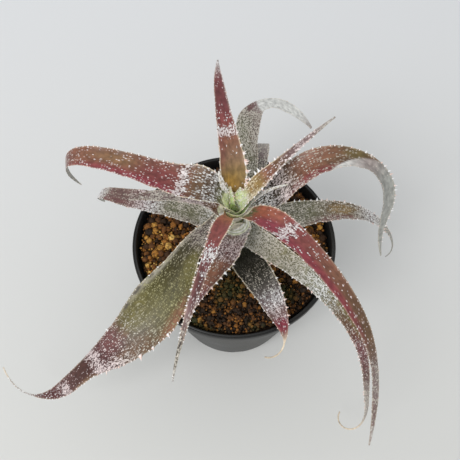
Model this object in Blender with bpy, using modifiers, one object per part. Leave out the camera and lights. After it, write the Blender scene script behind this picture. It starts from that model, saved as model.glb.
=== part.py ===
"""Potted orthophytum: a rosette of arching leaves on a short leaning stem, in a round slotted nursery pot.

Metres, +Z up. The origin is the centre of the pot's base, on the surface that it stands on. +Y is the back
of the plant and +X its right. Each leaf is a strip carried along a path that starts at the stem.
"""

import math

import bmesh
import bpy
import numpy as np

MM = 0.001
GAP = 0.3 * MM                      # clearance between a piece and its neighbour

# Pot: a tapered round nursery pot with a rolled lip and four drain slots in its bottom edge.
POT_HEIGHT = 88 * MM
RIM_RADIUS = 52.5 * MM
BASE_RADIUS = 36 * MM
WALL = 1.2 * MM
FLOOR = 1.6 * MM
LIP_DEPTH = 3.2 * MM                # height of the thickened lip
LIP_WIDTH = 2.0 * MM                # lip thickness, seen from above
LIP_ROUND = 0.6 * MM                # how far the lip's edges are rounded
BASE_CHAMFER = 1.0 * MM             # round the outside of the base
STEP_DROP = 9 * MM                  # the stacking step below the rim
STEP_WIDTH = 1.2 * MM
SLOT_COUNT = 4
SLOT_WIDTH = 4.5 * MM
SLOT_HEIGHT = 3 * MM
SLOT_INNER_RADIUS = 25 * MM
SLOT_BEARING = -85                  # degrees, the slot nearest the front
TURN_STEPS = 64

# Soil: a granular fill with a low mound round the stem.
SOIL_HEIGHT = 84 * MM
SOIL_MOUND = 1.2 * MM
MOUND_STEPS = 5
SOCKET_BOTTOM = 50 * MM
SOCKET_RADIUS = 5.8 * MM

# Stem: upright in the pot, leaning back from just under the soil's top, and narrowing through the crown.
# Its outline is a list of heights and radii, both in mm.
STEM_LEAN = 0.2                     # metres back for each metre up
LEAN_START = 78 * MM                # the height where it begins to lean
STEM_TOP = 115.5
ROOT_BOTTOM = 50.3
STEM_OUTLINE = (
    (ROOT_BOTTOM, 1.6), (56, 3.2), (72, 3.6), (79, 4.0), (100, 4.0), (108, 3.2), (113, 2.0), (STEM_TOP, 1.0))

# Leaves: how far each starts from the stem, and how finely it is divided.
LEAF_CLEARANCE = 0.9 * MM           # from the stem's skin to the middle of the leaf's foot
LEAF_THICKNESS = 0.9 * MM
YOUNG_THICKNESS = 0.6 * MM
LEAST_WIDTH = 0.8                   # mm, at a thread-like tip
PATH_STEPS = 120
LEAF_ROWS = 20
LEAF_COLUMNS = 4
YOUNG_ROWS = 8
YOUNG_COLUMNS = 2
CUP = (35, 15)                      # half the angle of the channel, degrees, at the foot and at the tip

# Each leaf's habit. height is where its foot meets the stem and length runs along its midrib, both in mm.
# bearing is the compass direction seen from above and climb the slope, both in degrees; width is in mm.
# These lists hold the values at even shares of the length, from the foot to the tip. The heights and the number
# of stations were chosen by hand. The other values, for the young leaves too, come from a separate program, a
# least-squares fit: they were rounded, and a few were then changed by hand. See report.md.
LEAVES = {
    "leaf_back_upright": dict(
        height=108, length=81, bearing=(86, 103, 97, 91), climb=(71, 45, 18, -1, -11),
        width=(5, 12, 9.6, 7, 5.2, 1.2), twist=(5, 1)),
    "leaf_left_arching": dict(
        height=110.8, length=110.5, bearing=(172, 164, 167, 166), climb=(80, 9, 12, 6, -9, -70, -131),
        width=(5, 15, 14.4, 12, 10.2, 6.2, 0.8), twist=(0, -28)),
    "leaf_left_low": dict(
        height=92, length=79, bearing=(160, 164, 166, 162, 157),
        climb=(20, 18, 14, 7, 0, -6, -9, -7, -42, -150),
        width=(8, 12, 13.8, 13.7, 13.5, 12.5, 11, 9, 6, 0.8), twist=(0, -1)),
    "leaf_left_short": dict(
        height=103.5, length=52, bearing=(157, 177, 168), climb=(33, 13, -8, -34),
        width=(5, 7.5, 6.5, 2.4), twist=(2, 0)),
    "leaf_front_left_broad": dict(
        height=98.5, length=181, bearing=(202, 242, 227, 203, 203, 171, 118),
        climb=(21, -16, -22, -34, -44, -26, 11), width=(9, 12, 27, 21, 11, 8.5, 0.8, 0.8),
        twist=(0, -15, 0)),
    "leaf_front_slender": dict(
        height=107, length=102, bearing=(246, 255, 250, 249), climb=(64, 26, -6, -42, -64),
        width=(5, 7.5, 5, 3.7, 1.8, 0.8), twist=(-4, 0)),
    "leaf_front_short": dict(
        height=100.5, length=61, bearing=(268, 247, 236, 250), climb=(38, 17, -11, -41),
        width=(8, 12, 8, 1)),
    "leaf_front_lowest": dict(
        height=88.5, length=75, bearing=(284, 301, 294, 277, 157), climb=(22, 13, 1, -7, -50, -25),
        width=(8, 16.5, 15, 9.5, 0.8, 0.8), twist=(0, 1)),
    "leaf_front_right_low": dict(
        height=95, length=173, bearing=(311, 321, 310, 287, 276, 52),
        climb=(26, 8, -19, -44, -62, -70, -19), width=(9.5, 11, 10, 6.5, 4, 2.6, 0.8, 0.8),
        twist=(4, 0)),
    "leaf_front_right_long": dict(
        height=105, length=178.5, bearing=(312, 307, 306, 262), climb=(75, 29, -10, -58, -65, -46),
        width=(7, 13, 10, 7.4, 4.7, 3.4, 0.8), twist=(0, -3)),
    "leaf_right_low": dict(
        height=90.5, length=120, bearing=(10, 9, 5, -13, -60), climb=(23, 11, -10, -40, -61, -105),
        width=(8, 16, 13, 9, 5.4, 1.6, 0.8), twist=(2, 3)),
    "leaf_right_arching": dict(
        height=102, length=143, bearing=(12, 16, -8, -54, -61), climb=(30, 56, 3, -57, -81, -58),
        width=(8.5, 15, 14, 7.5, 9, 4.3, 0.8), twist=(7, 4)),
    "leaf_back_right_slender": dict(
        height=109.8, length=64, bearing=(11, 30, 32), climb=(77, 36, 19),
        width=(4.5, 10, 5.2, 2.8, 0.8)),
    "leaf_back_hooked": dict(
        height=97, length=109, bearing=(57, 86, 94, 58, -3, -26), climb=(34, 11, -4, -23, -47),
        width=(7, 7, 8.5, 13, 7.5, 7.5, 1.7), twist=(0, 4)),
    "leaf_back_low": dict(
        height=92.8, length=61, bearing=(65, 74, 93), climb=(31, 21, 18, -34, -166),
        width=(6, 10, 9.5, 7.5, 1.5), twist=(0, -2)),
}
YOUNG_LEAVES = {
    "leaf_young_left": dict(
        height=112.6, length=20, bearing=(150, 114), climb=(69, 54), width=(2.4, 1.6, 0.8)),
    "leaf_young_right": dict(
        height=107.6, length=29, bearing=(5, 3, 1), climb=(66, 50, 19), width=(3, 2.6, 1.4)),
}

# The heart: small leaves set a golden angle apart. Each pair holds the lowest leaf's value and the highest's.
HEART_COUNT = 5
GOLDEN_ANGLE = 137.5
HEART_BEARING = 65
HEART_HEIGHTS = (112.4, 114.2)
HEART_LENGTHS = (12, 8)
HEART_WIDTHS = (3, 2)
HEART_FOOT_CLIMBS = (70, 82)
HEART_TIP_CLIMBS = (58, 82)

# Base colour and roughness of each material.
MATERIALS = {
    "pot_plastic": ((0.030, 0.031, 0.032), 0.45),
    "soil_granules": ((0.115, 0.055, 0.024), 0.95),
    "stem_bark": ((0.160, 0.110, 0.070), 0.8),
    "leaf_skin": ((0.200, 0.115, 0.085), 0.5),
    "young_leaf_skin": ((0.230, 0.330, 0.150), 0.55),
}


def clear_scene():
    """Empty the scene, so that a second run starts afresh."""
    for old in list(bpy.data.objects):
        bpy.data.objects.remove(old, do_unlink=True)


def new_collection(name):
    collection = bpy.data.collections.new(name)
    bpy.context.scene.collection.children.link(collection)
    return collection


def new_material(name):
    colour, roughness = MATERIALS[name]
    material = bpy.data.materials.new(name)
    material.use_nodes = True
    shader = material.node_tree.nodes["Principled BSDF"]
    shader.inputs["Base Color"].default_value = (*colour, 1)
    shader.inputs["Roughness"].default_value = roughness
    return material


def new_object(name, mesh, collection, material=None):
    made = bpy.data.objects.new(name, mesh)
    collection.objects.link(made)
    if material:
        mesh.materials.append(material)
    return made


def turned(name, profile, collection, material):
    """A body of revolution: profile is (radius, height) points, outer side from top to bottom."""
    mesh = bpy.data.meshes.new(name)
    points = [(radius, 0, height) for radius, height in profile]
    mesh.from_pydata(points, [(i, i + 1) for i in range(len(points) - 1)], [])
    made = new_object(name, mesh, collection, material)
    screw = made.modifiers.new("turn", "SCREW")
    screw.steps = TURN_STEPS
    screw.render_steps = TURN_STEPS
    screw.use_merge_vertices = True
    screw.merge_threshold = 0.00001
    return made


def outer(height):
    """The radius of the pot's tapered outer wall at a height."""
    taper = (RIM_RADIUS - LIP_WIDTH + WALL - BASE_RADIUS) / POT_HEIGHT
    return BASE_RADIUS + taper * height


def make_pot(collection, cutters, material):
    """The wall tapers to the base, steps in below the rim and ends in a rounded lip."""
    inner_rim = RIM_RADIUS - LIP_WIDTH
    step = POT_HEIGHT - STEP_DROP
    lip = POT_HEIGHT - LIP_DEPTH
    profile = [
        (0, FLOOR),
        (outer(FLOOR) - WALL, FLOOR),
        (outer(step) - WALL - STEP_WIDTH, step - STEP_WIDTH),
        (outer(step) - WALL, step),
        (inner_rim, lip),
        (inner_rim, POT_HEIGHT - LIP_ROUND),
        (inner_rim + LIP_ROUND, POT_HEIGHT),
        (RIM_RADIUS - 2 * LIP_ROUND, POT_HEIGHT),
        (RIM_RADIUS, POT_HEIGHT - 1.5 * LIP_ROUND),
        (RIM_RADIUS, lip),
        (outer(lip), lip),
        (outer(step), step),
        (outer(step) - 0.5 * STEP_WIDTH, step - 0.5 * STEP_WIDTH),
        (BASE_RADIUS, BASE_CHAMFER),
        (BASE_RADIUS - BASE_CHAMFER, 0),
        (0, 0),
    ]
    pot = turned("pot", profile, collection, material)
    slot_length = RIM_RADIUS - SLOT_INNER_RADIUS
    for i in range(SLOT_COUNT):
        angle = math.radians(SLOT_BEARING + i * 360 / SLOT_COUNT)
        middle = SLOT_INNER_RADIUS + slot_length / 2
        bpy.ops.mesh.primitive_cube_add(
            size=1, location=(middle * math.cos(angle), middle * math.sin(angle), 0),
            rotation=(0, 0, angle))
        cutter = bpy.context.object
        cutter.name = f"slot_cutter_{i + 1}"
        cutter.scale = (slot_length, SLOT_WIDTH, 2 * SLOT_HEIGHT)
        cutter.hide_render = True
        cutter.display_type = "WIRE"
        for owner in list(cutter.users_collection):
            owner.objects.unlink(cutter)
        cutters.objects.link(cutter)
        cut = pot.modifiers.new(cutter.name, "BOOLEAN")
        cut.operation = "DIFFERENCE"
        cut.object = cutter


def make_soil(collection, material):
    """The fill follows the pot's inside, with a round socket for the rootstock."""
    socket = SOCKET_RADIUS
    step = POT_HEIGHT - STEP_DROP
    bottom = FLOOR + GAP
    step_foot = step - STEP_WIDTH + GAP
    wall_gap = WALL + GAP

    def inside(height):
        return outer(height) - wall_gap

    top_radius = inside(SOIL_HEIGHT)
    mound = [
        (socket + (top_radius - socket) * share,
         SOIL_HEIGHT + SOIL_MOUND * math.cos(share * math.pi / 2))
        for share in np.linspace(0, 1, MOUND_STEPS + 1)
    ]
    profile = [
        (0, SOCKET_BOTTOM),
        (socket, SOCKET_BOTTOM),
        *mound,
        (inside(step), step + GAP),
        (inside(step_foot) - STEP_WIDTH, step_foot),
        (inside(bottom), bottom),
        (0, bottom),
    ]
    turned("soil", profile, collection, material)


def stem_axis(height):
    """A point on the stem's axis, which leans back from LEAN_START up."""
    return 0, STEM_LEAN * max(height - LEAN_START, 0), height


def stem_radius(height):
    """The stem's radius at a height, between the stations of its outline."""
    heights, radii = zip(*STEM_OUTLINE)
    return MM * np.interp(height / MM, heights, radii)


def make_stem(collection, material):
    """The rootstock and the leafy stem are one tapered piece."""
    curve = bpy.data.curves.new("stem", "CURVE")
    curve.dimensions = "3D"
    curve.bevel_depth = 1
    curve.bevel_resolution = 4
    curve.use_fill_caps = True
    spline = curve.splines.new("POLY")
    spline.points.add(len(STEM_OUTLINE) - 1)
    for point, (height, radius) in zip(spline.points, STEM_OUTLINE):
        point.co = (*stem_axis(height * MM), 1)
        point.radius = radius * MM
    new_object("stem", curve, collection, material)


def along(values, share):
    """Smooth values between even stations: a Catmull-Rom curve through each of them."""
    ends = (2 * values[0] - values[1], 2 * values[-1] - values[-2])
    points = np.array([ends[0], *values, ends[1]], dtype=float)
    place = share * (len(values) - 1)
    first = np.minimum(place.astype(int), len(values) - 2)
    f = place - first
    a, b, c, d = (points[first + k] for k in range(4))
    square = 2 * a - 5 * b + 4 * c - d
    cube = 3 * b - 3 * c + d - a
    return 0.5 * (2 * b + (c - a) * f + square * f**2 + cube * f**3)


def direction(habit, share):
    """Unit vectors at each share of the leaf: onwards, to its left, and out of its upper face."""
    bearing = np.radians(along(habit["bearing"], share))
    climb = np.radians(along(habit["climb"], share))
    onwards = np.stack(
        [np.cos(climb) * np.cos(bearing), np.cos(climb) * np.sin(bearing), np.sin(climb)], -1)
    left = np.stack([-np.sin(bearing), np.cos(bearing), 0 * bearing], -1)
    upper = np.cross(onwards, left)
    twist = np.radians(along(habit.get("twist", (0, 0)), share))[:, None]
    return (onwards, np.cos(twist) * left + np.sin(twist) * upper,
            np.cos(twist) * upper - np.sin(twist) * left)


def leaf_path(habit):
    """Points along the midrib, each a step further in the direction half-way to it."""
    step = habit["length"] * MM / PATH_STEPS
    half_way = (np.arange(PATH_STEPS) + 0.5) / PATH_STEPS
    start_bearing = math.radians(habit["bearing"][0])
    height = habit["height"] * MM
    foot = np.array(stem_axis(height))
    start_radius = stem_radius(height) + LEAF_CLEARANCE
    foot[:2] += start_radius * np.array([math.cos(start_bearing), math.sin(start_bearing)])
    steps = direction(habit, half_way)[0] * step
    return foot + np.vstack([np.zeros(3), np.cumsum(steps, axis=0)])


def make_leaf(name, habit, collection, material, rows, columns, thickness):
    """A grid laid along the path as a shallow channel, then given its thickness."""
    share = np.linspace(0, 1, rows + 1)
    path = leaf_path(habit)[:: PATH_STEPS // rows]
    _, left, upper = direction(habit, share)
    width = np.maximum(along(habit["width"], share), LEAST_WIDTH) * MM
    half_angle = np.radians(along(CUP, share))
    radius = 0.5 * width / half_angle

    strip = bmesh.new()
    bmesh.ops.create_grid(strip, x_segments=columns, y_segments=rows, size=1)
    for vertex in strip.verts:
        row = round((vertex.co.y + 1) / 2 * rows)
        angle = vertex.co.x * half_angle[row]
        across = radius[row] * math.sin(angle)
        lift = radius[row] * (1 - math.cos(angle))
        vertex.co = path[row] - across * left[row] + lift * upper[row]
    mesh = bpy.data.meshes.new(name)
    strip.to_mesh(mesh)
    strip.free()
    leaf = new_object(name, mesh, collection, material)
    shell = leaf.modifiers.new("thickness", "SOLIDIFY")
    shell.thickness = thickness
    shell.offset = 0
    return leaf


def heart_leaf(index):
    """One of the small leaves of the heart: steeper and shorter towards the middle."""
    def at(pair):
        return pair[0] + (pair[1] - pair[0]) * index / (HEART_COUNT - 1)

    bearing = HEART_BEARING + GOLDEN_ANGLE * index
    return dict(
        height=at(HEART_HEIGHTS), length=at(HEART_LENGTHS), bearing=(bearing, bearing),
        climb=(at(HEART_FOOT_CLIMBS), at(HEART_TIP_CLIMBS)),
        width=(at(HEART_WIDTHS), at(HEART_WIDTHS), LEAST_WIDTH))


def main():
    clear_scene()
    parts = new_collection("potted_orthophytum")
    cutters = new_collection("cutters")
    leaf_skin = new_material("leaf_skin")
    young_skin = new_material("young_leaf_skin")

    make_pot(parts, cutters, new_material("pot_plastic"))
    make_soil(parts, new_material("soil_granules"))
    make_stem(parts, new_material("stem_bark"))
    for name, habit in LEAVES.items():
        make_leaf(name, habit, parts, leaf_skin, LEAF_ROWS, LEAF_COLUMNS, LEAF_THICKNESS)
    heart = {f"leaf_heart_{i + 1}": heart_leaf(i) for i in range(HEART_COUNT)}
    for name, habit in {**YOUNG_LEAVES, **heart}.items():
        make_leaf(name, habit, parts, young_skin, YOUNG_ROWS, YOUNG_COLUMNS, YOUNG_THICKNESS)


main()
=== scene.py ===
# %% [markdown]
# # A potted orthophytum, built from rings
#
# This plant is a small bromeliad: a rosette of channelled leaves with spiny margins, each clasping a short
# stem, in a black nursery pot filled with rounded granules. Almost everything on it is a tapering tube of
# some kind, even a leaf, which is a tube squeezed nearly flat. So one idea makes nearly every mesh here: work
# out rings of points with numpy, then skin them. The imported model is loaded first. It fixes the frame, in
# metres with +Z up, and every finished piece stands in the place of one of its nodes.

# %% Load the frame
import math

import bpy
import numpy as np
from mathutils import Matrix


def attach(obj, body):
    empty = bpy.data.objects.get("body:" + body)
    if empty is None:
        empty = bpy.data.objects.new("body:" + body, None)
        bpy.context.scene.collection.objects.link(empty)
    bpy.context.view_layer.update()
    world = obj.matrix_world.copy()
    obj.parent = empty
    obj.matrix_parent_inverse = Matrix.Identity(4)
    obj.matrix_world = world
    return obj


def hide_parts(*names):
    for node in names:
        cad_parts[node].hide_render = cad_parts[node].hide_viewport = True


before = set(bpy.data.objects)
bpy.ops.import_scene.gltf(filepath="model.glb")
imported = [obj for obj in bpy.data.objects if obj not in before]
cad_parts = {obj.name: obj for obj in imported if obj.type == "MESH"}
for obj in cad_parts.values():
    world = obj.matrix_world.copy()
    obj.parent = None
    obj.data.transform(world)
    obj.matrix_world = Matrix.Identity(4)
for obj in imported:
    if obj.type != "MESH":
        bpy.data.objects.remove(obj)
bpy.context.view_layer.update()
MM = 0.001


# %% [markdown]
# ## Small tools for numbers
#
# Blender wants linear colours, but colours are easier to pick on the usual 0 to 255 scale, so a helper
# converts them. `smooth` is the S-shaped step that softens every change from one thing to another. `along`
# draws a smooth curve through a handful of values spaced evenly from the start of a leaf to its tip: a short
# list of numbers is enough to say how a leaf bends, and the curve fills in the rest.

# %% Colour and curve helpers
def colour(red, green, blue):
    """A linear colour from one on the 0 to 255 scale: the usual screen curve, undone."""
    share = np.array([red, green, blue]) / 255
    return np.where(share <= 0.04045, share / 12.92, ((share + 0.055) / 1.055) ** 2.4)


def smooth(start, end, value):
    """0 at start, 1 at end, with a soft S between: 3x^2 - 2x^3 of the share of the way."""
    share = np.clip((np.asarray(value, float) - start) / (end - start), 0, 1)
    return share * share * (3 - 2 * share)


def mix(first, second, weight):
    return first + (second - first) * weight


def along(values, share):
    """Smooth values between even stations: a Catmull-Rom curve through each one. It works on colours too."""
    values = np.asarray(values, float)
    points = np.concatenate([[2 * values[0] - values[1]], values, [2 * values[-1] - values[-2]]])
    place = np.asarray(share, float) * (len(values) - 1)
    first = np.clip(place.astype(int), 0, len(values) - 2)
    f = (place - first).reshape(place.shape + (1,) * (values.ndim - 1))
    a, b, c, d = (points[first + k] for k in range(4))
    square = 2 * a - 5 * b + 4 * c - d
    cube = 3 * b - 3 * c + d - a
    return 0.5 * (2 * b + (c - a) * f + square * f**2 + cube * f**3)


print("mid grey is", np.round(colour(128, 128, 128), 3))
print("half-way through 1, 3, 2 is", along((1, 3, 2), 0.5))


# %% [markdown]
# ## Rings to meshes
#
# A tube is a stack of closed rings. Quads join each ring to the next, and a fan of triangles closes each end
# on a single pole point, so there is no hole and no doubled point. Many tubes of the same build, such as all
# the spines of a leaf, go into one mesh at once: the arrays just gain one more axis. If the rings turn the
# wrong way round, the volume comes out negative and the faces are flipped, so they always point outwards.

# %% Skin rings into a mesh
def skin(name, rings, materials, shades=None, smooth_shading=True):
    """One object from rings[tube, ring, corner, xyz], in metres. shades maps an attribute's name to values
    for every ring point, shaped [tube, ring, corner] or [tube, ring, corner, n]."""
    tubes, rows, corners = rings.shape[:3]
    points = rings.reshape(tubes, rows * corners, 3)
    poles = rings[:, [0, -1]].mean(axis=2)
    everything = np.concatenate([points, poles], axis=1)

    ring = np.arange(corners)
    onward = np.roll(ring, -1)
    row = corners * np.arange(rows - 1)[:, None]
    quads = np.stack([row + ring, row + onward, row + corners + onward, row + corners + ring], -1)
    quads = quads.reshape(-1, 4)
    last = (rows - 1) * corners
    first_fan = np.stack([np.full(corners, rows * corners), onward, ring], -1)
    last_fan = np.stack([np.full(corners, rows * corners + 1), last + ring, last + onward], -1)
    fans = np.concatenate([first_fan, last_fan])

    triangles = np.concatenate([quads[:, [0, 1, 2]], quads[:, [0, 2, 3]], fans])
    a, b, c = (everything[:, triangles[:, k]] for k in range(3))
    volume = np.einsum("tij,tij->t", a, np.cross(b, c)) / 6
    inside_out = volume < 0

    start = (rows * corners + 2) * np.arange(tubes)[:, None, None]
    quads = np.where(inside_out[:, None, None], quads[None, :, ::-1], quads[None]) + start
    fans = np.where(inside_out[:, None, None], fans[None, :, ::-1], fans[None]) + start
    mesh = bpy.data.meshes.new(name)
    faces = quads.reshape(-1, 4).tolist() + fans.reshape(-1, 3).tolist()
    mesh.from_pydata(everything.reshape(-1, 3), [], faces)
    for shade, values in (shades or {}).items():
        add_shade(mesh, shade, values)
    if smooth_shading:
        mesh.shade_smooth()
    made = bpy.data.objects.new(name, mesh)
    bpy.context.scene.collection.objects.link(made)
    for material in materials:
        mesh.materials.append(material)
    return made


def add_shade(mesh, shade, values):
    """Store values for each ring point, and their ring's mean at the two poles, as a point attribute."""
    values = np.asarray(values, float)
    if values.ndim == 3:
        values = values[..., None]
    tubes, rows, corners, size = values.shape
    poles = values[:, [0, -1]].mean(axis=2)
    flat = np.concatenate([values.reshape(tubes, rows * corners, size), poles], axis=1).reshape(-1, size)
    kind = {1: "FLOAT", 3: "FLOAT_VECTOR", 4: "FLOAT_COLOR"}[size]
    attribute = mesh.attributes.new(shade, kind, "POINT")
    field = {1: "value", 3: "vector", 4: "color"}[size]
    attribute.data.foreach_set(field, flat.astype(np.float32).ravel())


def circle(corners):
    """Angles evenly round a ring, without repeating the first."""
    return 2 * np.pi * np.arange(corners) / corners


def settle(piece, slot, *nodes):
    """Tie a finished piece to the pot's body and let it stand for its nodes, which are hidden. slot, the name
    of its finish, is not used.
    """
    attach(piece, "root")
    if nodes:
        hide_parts(*nodes)
    return piece


print("skin, add_shade, circle and settle are ready")


# %% [markdown]
# ## Building materials from code
#
# A node tree drawn by hand is easy to read but slow to repeat. `node` adds one node, sets its options, and
# fills its sockets, either with plain values or with the output of another node. What more than one material
# needs goes into a node group: a box with named inputs and outputs, made once and placed where it is wanted.

# %% Node helpers
def plug(tree, socket, value):
    """Fill a socket with another node's output, or with a plain value."""
    if isinstance(value, bpy.types.NodeSocket):
        tree.links.new(value, socket)
    else:
        socket.default_value = value


def node(tree, kind, inputs=None, **options):
    """Add a shader node. inputs maps a socket's name or number to a value or to another node's output."""
    made = tree.nodes.new("ShaderNode" + kind)
    for option, value in options.items():
        setattr(made, option, value)
    for socket, value in (inputs or {}).items():
        plug(tree, made.inputs[socket], value)
    return made


def arithmetic(tree, operation, *numbers, clamp=False):
    """One sum on two numbers, or three for MULTIPLY_ADD, and its output."""
    return node(tree, "Math", dict(enumerate(numbers)), operation=operation, use_clamp=clamp).outputs[0]


def blend_colours(tree, weight, first, second, blend="MIX"):
    made = node(tree, "Mix", data_type="RGBA", blend_type=blend, clamp_factor=True)
    for socket, value in ((0, weight), (6, first), (7, second)):
        plug(tree, made.inputs[socket], value)
    return made.outputs[2]


def ramp(tree, value, low, high, to_low=0.0, to_high=1.0):
    """Carry value from low..high to to_low..to_high, with soft ends."""
    inputs = {"Value": value, "From Min": low, "From Max": high, "To Min": to_low, "To Max": to_high}
    return node(tree, "MapRange", inputs, interpolation_type="SMOOTHSTEP").outputs["Result"]


def new_group(name, inputs, outputs):
    """An empty node group. inputs and outputs map names to the sockets' kinds."""
    group = bpy.data.node_groups.new(name, "ShaderNodeTree")
    for direction, sockets in (("INPUT", inputs), ("OUTPUT", outputs)):
        for socket, kind in sockets.items():
            group.interface.new_socket(socket, in_out=direction, socket_type="NodeSocket" + kind)
    enter = group.nodes.new("NodeGroupInput")
    leave = group.nodes.new("NodeGroupOutput")
    return group, enter.outputs, leave.inputs


def new_material(name, **sockets):
    """A material and its Principled shader, with constant values on the shader's own sockets."""
    material = bpy.data.materials.new(name)
    material.use_nodes = True
    shader = material.node_tree.nodes["Principled BSDF"]
    for socket, value in sockets.items():
        shader.inputs[socket.replace("_", " ")].default_value = value
    return material, material.node_tree, shader


def place_group(tree, group, inputs):
    made = tree.nodes.new("ShaderNodeGroup")
    made.node_tree = group
    for socket, value in inputs.items():
        plug(tree, made.inputs[socket], value)
    return made.outputs


def feed(tree, shader, colour_out, roughness_out, height_out, distance):
    """Wire a pattern into a shader: its colour, its roughness, and its height as a bump."""
    tree.links.new(colour_out, shader.inputs["Base Color"])
    tree.links.new(roughness_out, shader.inputs["Roughness"])
    bump = node(tree, "Bump", {"Height": height_out, "Distance": distance, "Strength": 1.0})
    tree.links.new(bump.outputs["Normal"], shader.inputs["Normal"])


print("node helpers are ready")


# %% [markdown]
# ## The camera, the floor and the light
#
# The view looks steeply down on the rosette from close by, so near leaves look much larger than far ones. A
# 41 mm lens about 26 cm from the crown gives that perspective. The floor is pale, with painted light: its
# colour grades from darker at the front to lighter at the back, as the light falls off. The light itself is
# plain: a bright grey sky all round and one soft lamp high at the front left, which together leave only a
# faint shadow.

# %% Camera
VIEW_POINT = (-2.1 * MM, -122.3 * MM, 330.2 * MM)
VIEW_DOWN = 62.2                     # degrees below the horizon
LENS = 41.0                          # mm
SENSOR = 36                          # mm across

camera_data = bpy.data.cameras.new("camera")
camera_data.lens = LENS
camera_data.sensor_width = SENSOR
camera_data.clip_start = 0.01
camera = bpy.data.objects.new("camera", camera_data)
camera.location = VIEW_POINT
camera.rotation_euler = (math.radians(90 - VIEW_DOWN), 0, 0)
bpy.context.scene.collection.objects.link(camera)
bpy.context.scene.camera = camera
print("camera", camera.location[:], "looking", VIEW_DOWN, "degrees down")

# %% Floor
FLOOR_HALF = 1.6
floor_material, tree, shader = new_material("pale_floor", Roughness=0.7)
place = node(tree, "TexCoord").outputs["Object"]
depth = node(tree, "SeparateXYZ", {"Vector": place}).outputs["Y"]
# Painted light: the floor is darker at the front and lighter and cooler at the back, for the light's
# fall-off.
far = node(tree, "MapRange", {"Value": depth, "From Min": -0.09, "From Max": 0.3}).outputs["Result"]
tree.links.new(blend_colours(tree, far, (0.68, 0.68, 0.655, 1), (0.77, 0.78, 0.79, 1)),
               shader.inputs["Base Color"])
floor_mesh = bpy.data.meshes.new("floor")
corners = [(x * FLOOR_HALF, y * FLOOR_HALF, 0) for x, y in ((-1, -1), (1, -1), (1, 1), (-1, 1))]
floor_mesh.from_pydata(corners, [], [(0, 1, 2, 3)])
floor_mesh.materials.append(floor_material)
floor = bpy.data.objects.new("floor", floor_mesh)
bpy.context.scene.collection.objects.link(floor)
print("floor", 2 * FLOOR_HALF, "m across")


# %% Light
def soft_lamp(name, place, aim, size, power):
    """A square area lamp that faces aim."""
    data = bpy.data.lights.new(name, "AREA")
    data.size = size
    data.energy = power
    lamp = bpy.data.objects.new(name, data)
    lamp.location = place
    away = np.array(place) - np.array(aim)
    flat = math.hypot(away[0], away[1])
    lamp.rotation_euler = (math.atan2(flat, away[2]), 0, math.atan2(away[0], -away[1]))
    bpy.context.scene.collection.objects.link(lamp)
    return lamp


CROWN = (0, 0, 0.10)
LAMP_PLACE = (-0.65, -0.7, 1.05)
LAMP_SIZE = 0.6
LAMP_POWER = 9
SKY_STRENGTH = 0.70

soft_lamp("high_lamp", LAMP_PLACE, CROWN, LAMP_SIZE, LAMP_POWER)
world = bpy.data.worlds.new("studio")
world.use_nodes = True
sky = world.node_tree.nodes["Background"]
sky.inputs["Color"].default_value = (0.97, 0.985, 1.0, 1)
sky.inputs["Strength"].default_value = SKY_STRENGTH
bpy.context.scene.world = world
bpy.context.scene.view_settings.view_transform = "Standard"
print("one lamp and a grey sky")


# %% [markdown]
# ## The pot
#
# A thin black nursery pot: a tapered wall, a small stacking step near the top, a rolled lip and four drain
# slots cut through its bottom edge. A turned shape is one outline carried round an axis, which is exactly a
# stack of rings, so `skin` makes it. The outline goes from the middle of the floor, up the inside, over the
# lip, and down the outside to the middle of the base. The slots are cut afterwards by a Boolean.

# %% Pot outline
POT_HEIGHT = 88 * MM
RIM_RADIUS = 52.5 * MM
BASE_RADIUS = 36 * MM
WALL = 1.2 * MM
POT_FLOOR = 1.6 * MM
LIP_WIDTH = 2.0 * MM
STEP_DROP = 9 * MM
STEP_WIDTH = 1.2 * MM
POT_CORNERS = 192
TAPER = (RIM_RADIUS - LIP_WIDTH + WALL - BASE_RADIUS) / POT_HEIGHT


def outer(height):
    """The radius of the tapered outer wall at a height: a straight line from base to rim."""
    return BASE_RADIUS + TAPER * height


def arc(middle_radius, middle_height, size, start, end, steps):
    """Outline points on a circular arc, from one angle to another, in degrees."""
    angles = np.radians(np.linspace(start, end, steps))
    return np.stack([middle_radius + size * np.cos(angles), middle_height + size * np.sin(angles)], -1)


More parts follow.
